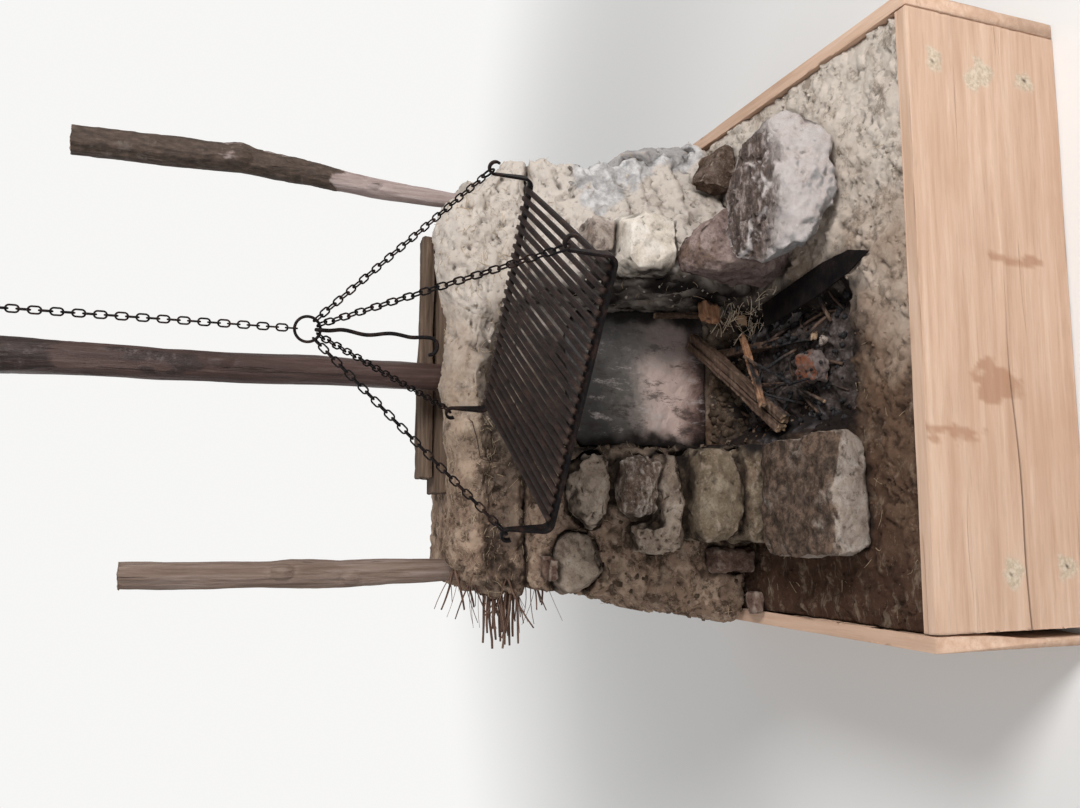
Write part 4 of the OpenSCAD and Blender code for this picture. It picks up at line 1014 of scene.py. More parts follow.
slab = from_nodes("fireback_piece", ["fireback_slab"], 0.0045, 1)
chipped(slab, 41, 14, 0.010, 0.0022)
spots = get_points(slab)
margins = smooth(np.abs(spots[:, 0] - FIRE_X) + 0.02 * fractal(spots, 0.05, 4, 42), 0.115, 0.150)
paint(slab, "soot_and_shade", margins)
finished(slab, "fireback_stone", nodes=["fireback_slab"])


def ash_patches(points):
    """Where pale ash lies, left and right of the fire."""
    flat = points * (1, 1, 0)
    near = np.minimum(along_line(flat, (-0.185, -0.12, 0), (-0.150, -0.25, 0)) / 0.022,
                      along_line(flat, (0.060, 0.00, 0), (0.085, -0.17, 0)) / 0.024)
    return 0.85 * smooth(near + 0.5 * fractal(points, 0.03, 4, 98), 1.3, 0.6)


def clay_piece():
    """The bed's top as trodden, cracked clay over a plain closed body."""
    pts, faces = solids("clay_bed")[0]
    tree = BVHTree.FromPolygons(pts.tolist(), faces)
    low, high = pts.min(0), pts.max(0)
    nx, ny = 290, 290
    edge = 0.0006
    xs = np.linspace(low[0] + edge, high[0] - edge, nx)
    ys = low[1] + edge + (high[1] - low[1] - 2 * edge) * np.linspace(0, 1, ny) ** 1.15
    grid = np.array([(x, y, 0) for y in ys for x in xs])
    z = np.array([tree.ray_cast(Vector((x, y, 1)), Vector((0, 0, -1)))[0].z for x, y, _ in grid])
    table = z.reshape(ny, nx)
    slope = np.hypot(*np.gradient(table, ys, xs)).ravel()
    rough = fractal(grid, 0.15, 6, 51, 0.55) * 0.008
    clods = smooth(fractal(grid, 0.034, 4, 61, 0.65), 0.0, 0.9) * 0.009
    clods += 0.0025 * fractal(grid, 0.014, 3, 64, 0.6)
    warped = grid + np.stack([noise(grid, 0.06, 71), noise(grid, 0.06, 72),
                              np.zeros(len(grid))], 1) * 0.03
    crack = smooth(ridged(warped, 0.19, 2, 81), 0.712, 0.746)
    crack = crack * smooth(noise(grid, 0.25, 91), -0.2, 0.3)
    crumble = smooth(slope, 0.4, 1.5)
    z = z + rough + clods - 0.006 - 0.006 * crack
    z += crumble * fractal(grid, 0.022, 4, 95, 0.65) * 0.012
    rim = np.minimum.reduce([grid[:, 0] - low[0], high[0] - grid[:, 0], grid[:, 1] - low[1]])
    z -= 0.004 * smooth(rim, 0.03, 0.0) * (1 + noise(grid, 0.08, 97))
    z = np.minimum(z, high[2] + 0.004)
    grid[:, 2] = z
    obj = grid_body("clay_top", grid, nx, ny, low[2] + 0.001)
    points = get_points(obj)
    # Painted soot around the pit, which also stands for the shade at its sunk rim
    away = off_box(points * (1, 1, 0), *PIT) + 0.035 * fractal(points, 0.07, 5, 96, 0.6)
    paint(obj, "soot_and_shade", 0.97 * smooth(away, 0.085, 0.015))
    paint(obj, "ashen", ash_patches(points))
    return finished(obj, "sooty_clay", nodes=["clay_bed"])


clay = clay_piece()


DIRT_AND_SHADE_REACH = 0.014


def joint_dirt_and_shade(pieces):
    """Paints dirt and contact shade on each piece wherever another one comes close."""
    shapes = []
    for obj in pieces:
        p = get_points(obj)
        tree = BVHTree.FromPolygons(p.tolist(), [list(f.vertices) for f in obj.data.polygons])
        shapes.append((obj, p, tree, p.min(0) - DIRT_AND_SHADE_REACH, p.max(0) + DIRT_AND_SHADE_REACH))
    for obj, p, _, _, _ in shapes:
        near = np.full(len(p), DIRT_AND_SHADE_REACH)
        for other, _, tree, low, high in shapes:
            if other is obj or obj.name.startswith("right_outer"):
                continue
            for i in np.nonzero(np.all((p > low) & (p < high), axis=1))[0]:
                spot, _, _, away = tree.find_nearest(Vector(p[i]), near[i])
                if spot:
                    near[i] = away
        near += 0.005 * fractal(p, 0.02, 3, 65)
        # Painted dirt and contact shade near other pieces, weaker towards the pale right
        strength = 0.92 - 0.42 * smooth(p[:, 0], 0.08, 0.30)
        paint(obj, "grime_and_shade", strength * smooth(near, 0.85 * DIRT_AND_SHADE_REACH, 0.10 * DIRT_AND_SHADE_REACH))


joint_dirt_and_shade(stones + [left_daub, right_daub, left_cob, right_cob, mantel, clay])


# Poles, logs and arm

def pole_piece(node, voxel, ridge, seed, bark_from, knots, bark_step=0.0018):
    """A pole with wood grain, knots, and bark from a height upwards."""
    obj = from_nodes(node + "_wood", [node], voxel, 2)
    p, n = get_points(obj), get_normals(obj)
    push = ridge * (fractal(p * (1, 1, 0.10), 0.018, 4, seed, 0.6) - 0.6)
    push += 0.004 * (noise(p * (1, 1, 0.5), 0.09, seed + 7) - 0.6)
    push -= 0.003 * smooth(ridged(p * (1, 1, 0.06), 0.05, 2, seed + 5), 0.700, 0.745)
    for x, y, z, size, height in knots:
        d = np.linalg.norm((p - (x, y, z)) * (1, 1, 0.8), axis=1) / size
        push += height * np.exp(-d * d * 2) - 0.4 * height * np.exp(-((d - 1.1) / 0.25) ** 2)
    cover = (p[:, 2] - bark_from) / 0.25 + fractal(p * (1, 1, 0.4), 0.07, 5, seed + 11, 0.6)
    bark = smooth(cover, -0.08, 0.08)
    push += bark_step * bark * (1 + 0.6 * fractal(p * (1, 1, 0.5), 0.012, 3, seed + 15))
    p = p + n * np.minimum(push, 0.0018)[:, None]
    p[:, 2] = np.minimum(p[:, 2], TOP_LIMIT)
    set_points(obj, p)
    paint(obj, "bark", bark * (n[:, 2] < 0.7))
    paint(obj, "cut", smooth(n[:, 2], 0.6, 0.85) * (p[:, 2] > p[:, 2].max() - 0.02))
    return finished(obj, SLOT_OF[node], nodes=[node])


pole_piece("left_pole", 0.0036, 0.0022, 101, 1.95,
           [(-0.470, 0.262, 1.31, 0.022, 0.006), (-0.490, 0.262, 1.16, 0.018, 0.005)])
pole_piece("centre_pole", 0.0042, 0.0014, 102, 1.75, [(-0.02, 0.255, 1.45, 0.020, 0.004)], 0.0008)
pole_piece("right_pole", 0.0036, 0.0022, 103, 1.22,
           [(0.440, 0.262, 1.43, 0.024, 0.007), (0.417, 0.270, 1.13, 0.016, 0.005)])


def log_piece(node, index, axis, seed, voxel=0.004, ridge=0.004):
    """A split or debarked log with fibres and drying cracks along it."""
    obj = from_nodes("%s_wood_%d" % (node, index), [node], voxel, 1, pick=[index])
    p, n = get_points(obj), get_normals(obj)
    drawn = p * squeezed(axis, 0.08)
    push = ridge * (fractal(drawn, 0.020, 4, seed, 0.6) - 0.7)
    push -= 0.003 * smooth(ridged(drawn, 0.03, 2, seed + 3), 0.66, 0.74)
    set_points(obj, p + n * push[:, None])
    return finished(obj, SLOT_OF[node], nodes=[node])


for index in range(len(solids("shelf_logs"))):
    log_piece("shelf_logs", index, 0, 110 + index)
for index in range(len(solids("hanging_arm"))):
    log_piece("hanging_arm", index, 1, 120 + index, 0.0045, 0.0026)
log_piece("arm_brace", 0, 1, 130, 0.0040, 0.0020)


# Kerb

EASE = 0.0022  # radius of the boards' edges


def board_outline(height, thick, crack):
    """A board's section as (depth, height) points, close together about the split."""
    ease = EASE
    rows = np.linspace(ease, height - ease, 58)
    if crack:
        around = crack(0.0)
        tight = around + np.array([-9, -5, -2.6, -1.4, -0.7, 0, 0.7, 1.4, 2.6, 5, 9]) / 1000
        rows = np.array(sorted([z for z in rows if abs(z - around) > 0.012] + tight.tolist()))
    bend = [(ease * (1 - math.cos(a)), ease * (1 - math.sin(a)))
            for a in np.linspace(0, math.pi / 2, 4)]
    outline = [(0, z) for z in rows]
    outline += [(c, height - s) for c, s in bend]
    outline += [(t, height) for t in np.linspace(ease, thick - ease, 6)[1:-1]]
    outline += [(thick - s, height - c) for c, s in bend]
    outline += [(thick, z) for z in rows[::-1][::6]]
    outline += [(thick - c, s) for c, s in bend]
    outline += [(t, 0) for t in np.linspace(thick - ease, ease, 6)[1:-1]]
    outline += [(s, c) for c, s in bend]
    shape = np.array(outline)
    return shape[np.linalg.norm(shape - np.roll(shape, 1, 0), axis=1) > 1e-5]


def board_piece(node, along, seed, crack=None):
    """A sawn board with eased edges, saw marks and, on the front one, a split."""
    low, high = (np.array(c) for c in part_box(node))
    across = 1 - along
    length, height = high[along] - low[along], high[2] - low[2]
    thick = high[across] - low[across]
    shape = board_outline(height, thick, crack)
    stations = np.linspace(0, length, int(length / 0.006))
    if along == 0:
        stations = np.concatenate([[0, 0.0008], stations[1:-1], [length - 0.0008, length]])
    points = []
    for s in stations:
        tuck = EASE * 0.6 if s in (stations[0], stations[-1]) else 0.0
        t = shape[:, 0] + np.where(shape[:, 0] < thick / 2, tuck, -tuck)
        z = shape[:, 1] + np.where(shape[:, 1] < height / 2, tuck, -tuck)
        p = np.zeros((len(shape), 3))
        p[:, along] = low[along] + s
        p[:, across] = low[across] + t
        p[:, 2] = low[2] + z
        if crack:
            base = crack(0.0)
            pull = np.exp(-((shape[:, 1] - base) / 0.05) ** 2) * (shape[:, 0] < 0.002)
            p[:, 2] += (crack(s) - base) * pull
        points.append(p)
    points = np.concatenate(points)
    count = len(shape)
    faces = [[i * count + k, (i + 1) * count + k, (i + 1) * count + (k + 1) % count,
              i * count + (k + 1) % count] for i in range(len(stations) - 1)
             for k in range(count)]
    faces.append(list(range(count)))
    faces.append([(len(stations) - 1) * count + k for k in range(count)][::-1])
    obj = new_object(node + "_wood", points, faces)
    fix_normals(obj)
    p, n = get_points(obj), get_normals(obj)
    push = 0.0006 * (fractal(p * squeezed(along, 0.05), 0.012, 4, seed, 0.6) - 1)
    push += 0.0012 * (noise(p, 0.35, seed + 4) - 1)
    if crack:
        s = p[:, along] - low[along]
        line = np.array([crack(v) for v in s])
        off = np.abs(p[:, 2] - low[2] - line)
        face = n[:, across] < -0.3
        open_end = smooth(s, 0.70, 0.25) * face
        push -= 0.007 * np.exp(-(off / 0.0012) ** 2) * open_end
        push += 0.0007 * np.exp(-(off / 0.006) ** 2) * face
    p = p + n * push[:, None]
    if node == "left_board":
        inner = smooth(p[:, 0], -0.562, -0.553) * smooth(p[:, 1], -0.40, -0.58)
        p[:, 0] -= 0.010 * inner * smooth(p[:, 2], 0.27, 0.12)
    set_points(obj, p)
    if crack:
        # Painted shade along the open split, and dark nail heads
        paint(obj, "mark", np.maximum(0.95 * np.exp(-(off / 0.0017) ** 2) * open_end,
                                      spots_on(p, NAILS, 0.0028, 0.0, 221) * face))
        paint(obj, "filler", 0.8 * spots_on(p, FILLED, 0.021, 0.5, 222) * face)
        paint(obj, "stain", 0.55 * spots_on(p * (1, 1, 0.5), STAINS, 0.022, 0.7, 223) * face)
    return finished(obj, "side_pine" if along else "fresh_pine", [node])


def spots_on(points, places, size, ragged, seed):
    """Round or ragged spots of about a size, as a share from 0 to 1."""
    near = np.full(len(points), 9.0)
    for x, z, stretch in places:
        away = (points - (x, points[:, 1].min(), z)) * (1 / stretch, 0, 1)
        near = np.minimum(near, np.linalg.norm(away, axis=1) / size)
    near += ragged * fractal(points, 0.02, 4, seed)
    return smooth(near, 1.15, 0.75)


FILLED = [(-0.449, 0.178, 1.2), (-0.443, 0.052, 1.0), (0.457, 0.291, 1.3), (0.447, 0.183, 1.5),
          (0.452, 0.082, 0.9), (0.430, 0.200, 0.8)]
NAILS = [(-0.452, 0.180, 1), (-0.440, 0.050, 1), (0.455, 0.294, 1), (0.450, 0.186, 1),
         (0.453, 0.080, 1)]
STAINS = [(-0.214, 0.140, 0.8), (-0.121, 0.094, 1.4), (0.104, 0.050, 0.5), (0.104, 0.066, 0.5),
          (-0.205, 0.152, 0.5)]


def front_crack(s):
    """Height of the split in the front board at a distance from its left end."""
    return 0.141 + 0.010 * s / 0.2 * min(1, s / 0.3) ** 0.5 * 0.6 + 0.003 * math.sin(s * 17)


board_piece("front_board", 0, 201, front_crack)
for node, along, seed in (("left_board", 1, 202), ("right_board", 1, 203),
                          ("back_board", 0, 204)):
    board_piece(node, along, seed)


# Iron

def iron_node(node, bevel=None):
    """Gives a kept CAD node its iron, and worn edges."""
    obj = NODES[node]
    obj.data.materials.clear()
    obj.data.materials.append(M["forged_iron"])
    if bevel:
        weld = obj.modifiers.new("weld", "WELD")
        weld.merge_threshold = 1e-6
        worn = obj.modifiers.new("worn", "BEVEL")
        worn.width, worn.segments, worn.limit_method = bevel, 2, "ANGLE"
        worn.harden_normals = False


for node in ("arm_hook", "top_link", "main_chain", "chain_ring", "front_chain", "right_chain",
             "back_chain", "left_chain"):
    iron_node(node)
iron_node("gridiron_rails", 0.0007)


def bars_piece():
    """Hammered square bars, each a little bent."""
    rng = np.random.default_rng(301)
    parts = []
    for pts, _ in solids("gridiron_bars"):
        centre = middle_of(pts)
        along = np.linalg.svd(pts - pts.mean(0))[2][0]
        reach = (pts - centre) @ along
        half = (reach.max() - reach.min()) / 2
        side = np.cross(along, (0, 0, 1))
        wide = np.ptp((pts - centre) @ side)
        tall = np.ptp(pts[:, 2])
        sway, sag = rng.normal(0, 0.0007, 2)
        stops = np.linspace(-half, half, 40)
        ring = [(-1, -.72), (-.72, -1), (.72, -1), (1, -.72), (1, .72), (.72, 1), (-.72, 1),
                (-1, .72)]
        points = []
        for k, t in enumerate(stops):
            bow = 1 - (t / half) ** 2
            mid = centre + along * t + side * (sway * bow * 1.6) + np.array((0, 0, sag * bow))
            wide_k = wide / 2 * (1 - 0.05 - 0.05 * rng.random())
            tall_k = tall / 2 * (1 - 0.02 * rng.random())
            for a, b in ring:
                points.append(mid + side * a * wide_k + np.array((0, 0, b * tall_k)))
        faces = [[k * 8 + i, k * 8 + (i + 1) % 8, (k + 1) * 8 + (i + 1) % 8, (k + 1) * 8 + i]
                 for k in range(len(stops) - 1) for i in range(8)]
        faces += [list(range(8))[::-1], [(len(stops) - 1) * 8 + i for i in range(8)]]
        parts.append((np.array(points), faces))
    obj = joined("gridiron_bars_forged", parts)
    fix_normals(obj)
    return finished(obj, "forged_iron", nodes=["gridiron_bars"], body="grill")


bars_piece()


def hook_piece():
    """The pot hook, its shank a little wavy from the hammer."""
    obj = from_nodes("pot_hook_forged", ["pot_hook"], 0.0011, 1)
    p = get_points(obj)
    low, high = p[:, 2].min(), p[:, 2].max()
    middle = smooth(p[:, 2], low + 0.020, low + 0.060)
    middle *= smooth(p[:, 2], high - 0.012, high - 0.045)
    p[:, 0] += 0.0026 * np.sin(p[:, 2] * 75) * middle
    p[:, 1] += 0.0016 * np.sin(p[:, 2] * 52 + 1) * middle
    set_points(obj, p)
    return finished(obj, "forged_iron", nodes=["pot_hook"], body="pot_hook")


hook_piece()

blade = from_nodes("blade_iron", ["fire_blade"], 0.0022, 1)
p, n = get_points(blade), get_normals(blade)
set_points(blade, p + n * (0.0004 * (fractal(p, 0.02, 4, 310) - 1))[:, None])
finished(blade, "blade_iron", ["fire_blade"])


# Fire

def stick_piece(index, pts, faces, wood):
    """A split stick whose ends nearest the fire's heart are charred."""
    centre = middle_of(pts)
    vt = main_axes(pts)
    obj = even(new_object("fire_piece_%d" % index, pts, faces), 0.0024, 1)
    p, n = get_points(obj), get_normals(obj)
    local = (p - centre) @ vt.T
    seed = 400 + 10 * index
    push = 0.0024 * (fractal(local * (0.08, 1, 1), 0.007, 4, seed, 0.65) - 0.6)
    push -= 0.003 * smooth(ridged(local * (0.06, 1, 1), 0.022, 2, seed + 5), 0.66, 0.75)
    set_points(obj, p + n * push[:, None])
    away = np.linalg.norm(p - FIRE_HEART, axis=1) + 0.03 * fractal(p, 0.03, 4, seed + 8)
    paint(obj, "char", smooth(away, 0.105, 0.065))
    half = np.ptp(local[:, 0]) / 2
    paint(obj, "cut", smooth(np.abs(local[:, 0]), half - 0.0022, half - 0.0008))
    return finished(obj, wood, ["firewood"])


ASH_STEP = 0.0026


def ash_piece(pts):
    """A low, uneven bed of ash and cinders on the pit's floor."""
    floor = pts[:, 2].min()
    xs, ys = (np.arange(*ends, ASH_STEP) for ends in ((-0.160, 0.096), (-0.385, 0.048)))
    grid = np.array([(x, y, 0) for y in ys for x in xs])
    lean = np.maximum(np.abs(grid[:, 0] - FIRE_X) - 0.085, np.abs(grid[:, 1] + 0.170) - 0.165)
    edge = smooth(lean + 0.016 * fractal(grid, 0.05, 4, 431), 0.030, -0.030)
    body = 0.021 + 0.010 * fractal(grid, 0.06, 5, 432, 0.6)
    body += 0.006 * smooth(fractal(grid, 0.018, 3, 433), 0.1, 0.8)
    grid[:, 2] = floor + 0.0015 + np.maximum(body, 0) * edge - 0.004 * (edge < 0.02)
    obj = grid_body("fire_ash", grid, len(xs), len(ys), floor - 0.008)
    paint(obj, "ashen", ash_patches(get_points(obj)))
    return finished(obj, "ash", ["firewood"])


def rock_piece(index, pts, faces, material):
    """A broken stone or clinker in the fire."""
    obj = even(new_object("fire_piece_%d" % index, pts, faces), 0.0022, 2)
    chipped(obj, 480 + index, 12, 0.008, 0.0026, facet=0.006, span=0.02)
    return finished(obj, material, ["firewood"])


def fire_pieces():
    """The ash bed, the stones and the sticks, told apart by their sizes."""
    made = []
    for index, (pts, faces) in enumerate(solids("firewood")):
        size = np.ptp(pts, axis=0)
        if size[1] > 0.3 and size[2] < 0.03:
            made.append(ash_piece(pts))
        elif size.max() < 0.09 and size[2] > 0.04:
            made.append(rock_piece(index, pts, faces, "clinker"))
        elif size.max() < 0.04 and size[2] < 0.03:
            made.append(rock_piece(index, pts, faces, "pale_stone"))
        else:
            bright = size[0] > 0.15 and size[2] < 0.055
            made.append(stick_piece(index, pts, faces, "orange_wood" if bright else "burnt_wood"))
    return made


fire = fire_pieces()
fire_surface = Surface(clay, *fire)


def cinders():
    """Bits of charcoal and burnt sticks strewn over the ash."""
    rng = np.random.default_rng(451)
    coals, sticks = [], []
    for _ in range(230):
        x, y = rng.uniform(-0.165, 0.100), rng.uniform(-0.385, 0.035)
        z = fire_surface.height(x, y)
        if z is None or z > CINDER_TOP:
            continue
        size = rng.uniform(0.003, 0.010) * rng.uniform(0.6, 1.3, 3)
        coals.append(lump(rng, np.array((x, y, z + 0.3 * size[2])), size, 1))
    for _ in range(34):
        x, y = rng.uniform(-0.14, 0.08), rng.uniform(-0.34, 0.02)
        a, length = rng.uniform(0, FULL_TURN), rng.uniform(0.03, 0.09)
        ends = []
        for side in (-0.5, 0.5):
            u, v = x + side * length * math.cos(a), y + side * length * math.sin(a)
            z = fire_surface.height(u, v)
            ends.append((u, v, min(z if z else 0.33, CINDER_TOP) + 0.004))
        path = [np.array(ends[0]) + (np.array(ends[1]) - ends[0]) * t
                + (0, 0, 0.004 * math.sin(3.14 * t)) for t in np.linspace(0, 1, 7)]
        sticks.append(tube(path, rng.uniform(0.0018, 0.0042) * rng.uniform(0.8, 1.1, 7), 6))
    black = joined("cinders", coals)
    paint(black, "char", np.ones(len(black.data.vertices)))
    finished(black, "burnt_wood")
    twigs = joined("burnt_twigs", sticks)
    fix_normals(twigs)
    pts = get_points(twigs)
    paint(twigs, "char", smooth(noise(pts, 0.05, 455), -0.2, 0.2))
    finished(twigs, "burnt_wood")


cinders()


# Brushwood in the mantel's left end

def twig_piece(name, parts, nodes=()):
    """Twigs as one piece, whose ends stay inside the CAD box."""
    obj = joined(name, parts)
    fix_normals(obj)
    p = get_points(obj)
    p[:, 0] = np.maximum(p[:, 0], LEFT_LIMIT)
    set_points(obj, p)
    return finished(obj, "twigs", nodes=nodes)


def brush_piece():
    """The sticks of the brushwood, each a little bent."""
    rng = np.random.default_rng(501)
    parts = []
    for pts, _ in solids("brushwood"):
        centre = middle_of(pts)
        vt = main_axes(pts)
        along = vt[0]
        half = np.ptp((pts - centre) @ along) / 2
        radius = np.ptp((pts - centre) @ vt[1]) / 2
        stops = np.linspace(-half, half, 12)
        bend = rng.normal(0, 0.0022, (2, 3))
        phase = rng.uniform(0, FULL_TURN, 2)
        path = [centre + along * t + vt[1] * bend[0, 0] * math.sin(t * 40 + phase[0])
                + vt[2] * bend[0, 1] * math.sin(t * 33 + phase[1]) for t in stops]
        radii = radius * (0.92 - 0.25 * np.abs(stops / half)) * rng.uniform(0.85, 1, 12)
        parts.append(tube(path, radii, 7))
    return twig_piece("brushwood_twigs", parts, ["brushwood"])


brush_piece()


def tufts():
    """Thinner twigs and strips of bark that stick out of the cob between the sticks."""
    rng = np.random.default_rng(511)
    parts = []
    for z, count, reach in ((0.952, 5, 0.045), (0.915, 9, 0.070), (0.872, 8, 0.085),
                            (0.838, 10, 0.080), (0.800, 9, 0.075), (0.768, 7, 0.065)):
        y = rng.uniform(0.145, 0.185)
        for _ in range(count):
            start = np.array((-0.470, y + rng.normal(0, 0.022), z + rng.normal(0, 0.008)))
            aim = np.array((-1, rng.normal(-0.1, 0.32), rng.normal(-0.04, 0.24)))
            aim /= np.linalg.norm(aim)
            length = min(reach * rng.uniform(0.4, 1.3) + 0.05, 0.168)
            bend = rng.normal(0, 0.16, 2)
            path = [start + aim * length * t + (0, bend[0] * length * t * t,
                                                bend[1] * length * t * t)
                    for t in np.linspace(0, 1, 7)]
            wide = rng.choice((0.0008, 0.0013, 0.0022, 0.0040), p=(0.3, 0.3, 0.2, 0.2))
            parts.append(tube(path, wide * np.linspace(1, 0.6, 7), 5,
                              0.3 if wide > 0.003 else 1.0))
    return twig_piece("brushwood_tufts", parts)


tufts()


# Straw, crumbs, a block of wood, a wire and daub

STRAW_RADIUS = 0.0006


def straw_on(name, surface, count, keep, lengths, seed, level=0.6):
    """Bent straws scattered over a surface; level lays them flatter."""
    rng = np.random.default_rng(seed)
    spots, normals = surface.scatter(rng, count, keep)
    parts = []
    for at, up in zip(spots, normals):
        aim = rng.normal(size=3) * (1, 1, 1 - level)
        aim -= up * (aim @ up)
        aim /= np.linalg.norm(aim)
        length = rng.uniform(*lengths)
        side = np.cross(up, aim)
        curve = rng.normal(0, 0.12) * length
        rise = rng.normal(0, 0.08) * length
        path = []
        for t in np.linspace(-0.5, 0.5, 5):
            path.append(at + aim * t * length + side * curve * (t * t) * 4
                        + up * (STRAW_RADIUS * 0.6 + abs(rise) * (t + 0.5) ** 2))
        parts.append(tube(path, STRAW_RADIUS * rng.uniform(0.6, 1.2), 4, 0.6))
    obj = joined(name, parts)
    return finished(obj, "straw")


def crumbs_on(name, surface, count, keep, sizes, seed, material):
    """Crumbs scattered over a surface."""
    rng = np.random.default_rng(seed)
    spots, normals = surface.scatter(rng, count, keep)
    parts = []
    for at, up in zip(spots, normals):
        size = rng.uniform(*sizes) * rng.uniform(0.6, 1.2, 3)
        parts.append(lump(rng, at - up * size.min() * 0.2, size, 1))
    return finished(joined(name, parts), material)


def inside(mids):
    """Where the kerb has room for loose bits."""
    return (np.abs(mids[:, 0]) < 0.56) & (mids[:, 1] > -0.56)


cob_surface = Surface(mantel, left_cob, right_cob, ledge)
straw_on("cob_straw", cob_surface, 1500,
         lambda m, n: ((n[:, 1] < 0.2) & (m[:, 1] < 0.3) & inside(m)) * (
             0.25 + (m[:, 2] > 0.85)), (0.008, 0.030), 601)
crumbs_on("left_rubble", Surface(left_cob, left_daub), 210,
          lambda m, n: (n[:, 1] < -0.1) * (m[:, 0] < -0.20) * (0.2 + (noise(m, 0.07, 66) > 0.1)),
          (0.004, 0.014), 604, "mortar")
crumbs_on("cob_crumbs", Surface(right_cob, mantel), 420,
          lambda m, n: (n[:, 1] < 0.1) * (0.2 + (noise(m, 0.06, 67) > 0.15)),
          (0.0015, 0.0060), 605, "cob")
crumbs_on("slab_rubble", Surface(clay), 170,
          lambda m, n: (n[:, 2] > 0.3) * (np.abs(m[:, 0] + 0.04) < 0.15)
          * (np.abs(m[:, 1] - 0.055) < 0.030), (0.005, 0.016), 606, "mortar")
clay_surface = Surface(clay)
straw_on("bed_straw", clay_surface, 170,
         lambda m, n: (n[:, 2] > 0.5) * inside(m) * (m[:, 1] < 0.1), (0.010, 0.040), 602, 0.9)
crumbs_on("bed_crumbs", clay_surface, 1500,
          lambda m, n: (n[:, 2] > 0.3) * inside(m) * (0.35 + (noise(m, 0.12, 63) > 0.1)),
          (0.0012, 0.0060), 603, "sooty_clay")


def tangle():
    """The tangle of straw beside the fire and the loose straws before it."""
    rng = np.random.default_rng(521)
    parts = []
    for k in range(74):
        loose = k > 46
        middle = (np.array((0.110, -0.110, 0)) if loose else np.array((0.092, -0.030, 0)))
        x, y, _ = middle + rng.normal(0, 1, 3) * ((0.012, 0.050, 0) if loose else
                                                  (0.020, 0.032, 0))
        base = fire_surface.height(x, y) or 0.35
        z = min(base, 0.39) + (0.002 if loose else rng.uniform(0.002, 0.022))
        aim = rng.normal(size=3) * (1, 1, 0.3)
        aim /= np.linalg.norm(aim)
        side = np.cross(aim, (0, 0, 1)) + (0, 0, 0.3)
        length = rng.uniform(0.022, 0.070)
        curve = rng.normal(0, 0.65) * length
        path = [np.array((x, y, z)) + aim * t * length + side * curve * (t * t - 0.12)
                for t in np.linspace(-0.5, 0.5, 8)]
        path = [(min(q[0], 0.134), q[1], max(q[2], 0.300)) for q in path]
        parts.append(tube(path, rng.uniform(0.0009, 0.0016), 4, 0.5))
    return finished(joined("straw_tangle", parts), "bright_straw")


tangle()


def wood_block():
    """A short split block of wood that lies behind the tangle of straw."""
    rng = np.random.default_rng(541)
    pts, faces = lump(rng, np.zeros(3), np.ones(3), 4)
    pts = np.sign(pts) * np.abs(pts) ** 0.4 * (0.027, 0.015, 0.025)
    turn = np.array(Matrix.Rotation(0.30, 3, "Z") @ Matrix.Rotation(0.25, 3, "Y"))
    obj = even(new_object("wood_block", pts @ turn.T + (0.108, -0.012, 0.412), faces), 0.0018, 1)
    p, n = get_points(obj), get_normals(obj)
    push = 0.0022 * (fractal(p @ turn * (0.15, 1, 1), 0.008, 4, 542, 0.65) - 0.6)
    set_points(obj, p + n * push[:, None])
    paint(obj, "char", 0.9 * smooth(fractal(p, 0.03, 4, 543), 0.35, 0.75))
    return finished(obj, "orange_wood")


wood_block()


def wire():
    """A thin bent wire pushed into the mantel's face."""
    bends = [(-0.233, 0.118, 0.872), (-0.234, 0.104, 0.884), (-0.233, 0.100, 0.905),
             (-0.228, 0.100, 0.919), (-0.190, 0.099, 0.926), (-0.150, 0.102, 0.937),
             (-0.143, 0.120, 0.939)]
    obj = joined("mantel_wire", [tube(bends, 0.0010, 6)])
    fix_normals(obj)
    return finished(obj, "forged_iron")


wire()


def daub():
    """Daub pressed around the foot of the centre pole, and on a thin place on the right."""
    rng = np.random.default_rng(531)
    parts = [lump(rng, np.array(at), np.array(size), 4) for at, size in (
        ((-0.066, 0.235, 0.958), (0.034, 0.026, 0.020)),
        ((-0.012, 0.232, 0.957), (0.036, 0.026, 0.018)),
        ((-0.040, 0.222, 0.955), (0.045, 0.020, 0.016)),
        ((0.022, 0.240, 0.948), (0.030, 0.030, 0.020)),
        ((0.4300, 0.0865, 0.7230), (0.017, 0.017, 0.020)))]
    obj = even(joined("crest_daub", parts), 0.0035, 3)
    p, n = get_points(obj), get_normals(obj)
    set_points(obj, p + n * (0.004 * fractal(p, 0.02, 4, 532))[:, None])
    return finished(obj, "cob")


daub()


lighten(dense + [clay, bpy.data.objects["fire_ash"]], DENSE_SHARE)
lighten([bpy.data.objects[side + "_board_wood"] for side in ("left", "right", "back")],
        BOARD_SHARE)


# Floor, light and camera

BACKDROP = (0.93, 0.925, 0.915, 1)
CAMERA_PLACE, CAMERA_LENS = (-0.364, -1.857, 1.520), 31.67
CAMERA_YAW, CAMERA_PITCH, CAMERA_ROLL = (math.radians(a) for a in (7.54, 20.51, -2.695))


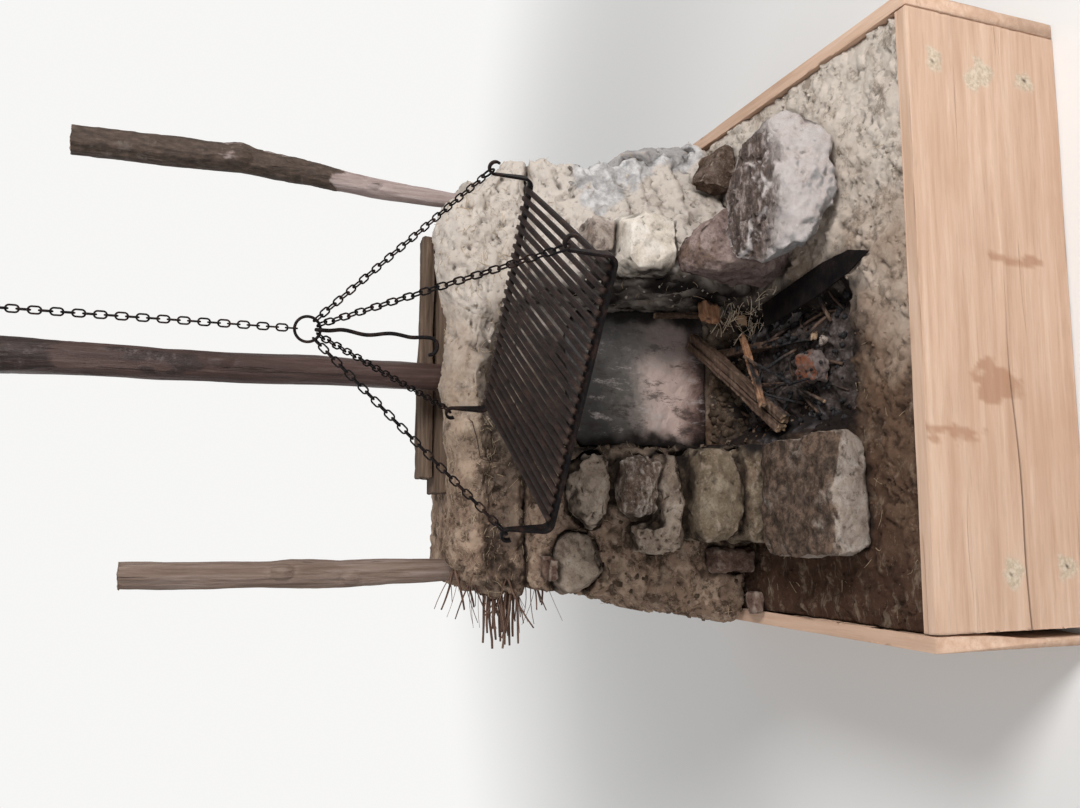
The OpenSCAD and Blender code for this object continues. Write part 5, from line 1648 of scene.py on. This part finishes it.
def stage():
    """A pale floor that fades into the background."""
    bm = bmesh.new()
    bmesh.ops.create_circle(bm, cap_ends=True, segments=96, radius=14)
    mesh = bpy.data.meshes.new("floor")
    bm.to_mesh(mesh)
    bm.free()
    floor = bpy.data.objects.new("floor", mesh)
    floor.location.z = -0.0005
    bpy.context.scene.collection.objects.link(floor)
    f = Finish("floor", 0.9, specular=0.1)
    f.shader.inputs["Base Color"].default_value = (0.80, 0.79, 0.775, 1)
    glow = f.nodes.new("ShaderNodeEmission")
    glow.inputs["Color"].default_value = BACKDROP
    path = f.nodes.new("ShaderNodeLightPath")
    seen = f.math("MAXIMUM", path.outputs["Is Camera Ray"], path.outputs["Is Glossy Ray"])
    far = f.step(f.distance((0, 0, 0)), 1.3, 4.0)
    blend = f.nodes.new("ShaderNodeMixShader")
    f.links.new(f.math("MULTIPLY", seen, far), blend.inputs[0])
    f.links.new(f.shader.outputs[0], blend.inputs[1])
    f.links.new(glow.outputs[0], blend.inputs[2])
    f.links.new(blend.outputs[0], f.nodes["Material Output"].inputs["Surface"])
    floor.data.materials.append(f.material)


def lights():
    """A soft world, white to the camera, and three lamps."""
    world = bpy.data.worlds.new("studio")
    bpy.context.scene.world = world
    world.use_nodes = True
    nodes, links = world.node_tree.nodes, world.node_tree.links
    nodes.clear()
    soft, white = nodes.new("ShaderNodeBackground"), nodes.new("ShaderNodeBackground")
    soft.inputs["Color"].default_value = (0.97, 0.985, 1.0, 1)
    soft.inputs["Strength"].default_value = 0.38
    white.inputs["Color"].default_value = BACKDROP
    path, blend = nodes.new("ShaderNodeLightPath"), nodes.new("ShaderNodeMixShader")
    links.new(path.outputs["Is Camera Ray"], blend.inputs[0])
    links.new(soft.outputs[0], blend.inputs[1])
    links.new(white.outputs[0], blend.inputs[2])
    links.new(blend.outputs[0], nodes.new("ShaderNodeOutputWorld").inputs["Surface"])
    for name, place, size, power in (("key", (1.7, -2.3, 2.6), 1.2, 98),
                                     ("front", (-1.2, -3.0, 1.6), 2.0, 20),
                                     ("rim", (-1.5, 2.2, 2.8), 1.8, 22)):
        data = bpy.data.lights.new(name, "AREA")
        data.shape, data.size, data.energy = "DISK", size, power
        lamp = bpy.data.objects.new(name, data)
        lamp.location = place
        aim = Vector((0, -0.1, 0.7)) - Vector(place)
        lamp.rotation_euler = aim.to_track_quat("-Z", "Y").to_euler()
        bpy.context.scene.collection.objects.link(lamp)


def camera():
    """The photograph's view; its right is the part's up."""
    yaw, pitch, roll = CAMERA_YAW, CAMERA_PITCH, CAMERA_ROLL
    forward = Vector((math.sin(yaw) * math.cos(pitch), math.cos(yaw) * math.cos(pitch),
                      -math.sin(pitch)))
    right = Vector((math.cos(yaw), -math.sin(yaw), 0))
    down = forward.cross(right)
    aside = math.cos(roll) * right + math.sin(roll) * down
    below = math.cos(roll) * down - math.sin(roll) * right
    data = bpy.data.cameras.new("camera")
    data.sensor_width, data.lens = 36.0, CAMERA_LENS
    cam = bpy.data.objects.new("camera", data)
    turn = Matrix((below, aside, -forward)).transposed()
    cam.matrix_world = Matrix.Translation(CAMERA_PLACE) @ turn.to_4x4()
    bpy.context.scene.collection.objects.link(cam)
    bpy.context.scene.camera = cam


camera()
stage()
lights()
bpy.context.scene.view_settings.view_transform = "Standard"

bpy.context.view_layer.update()
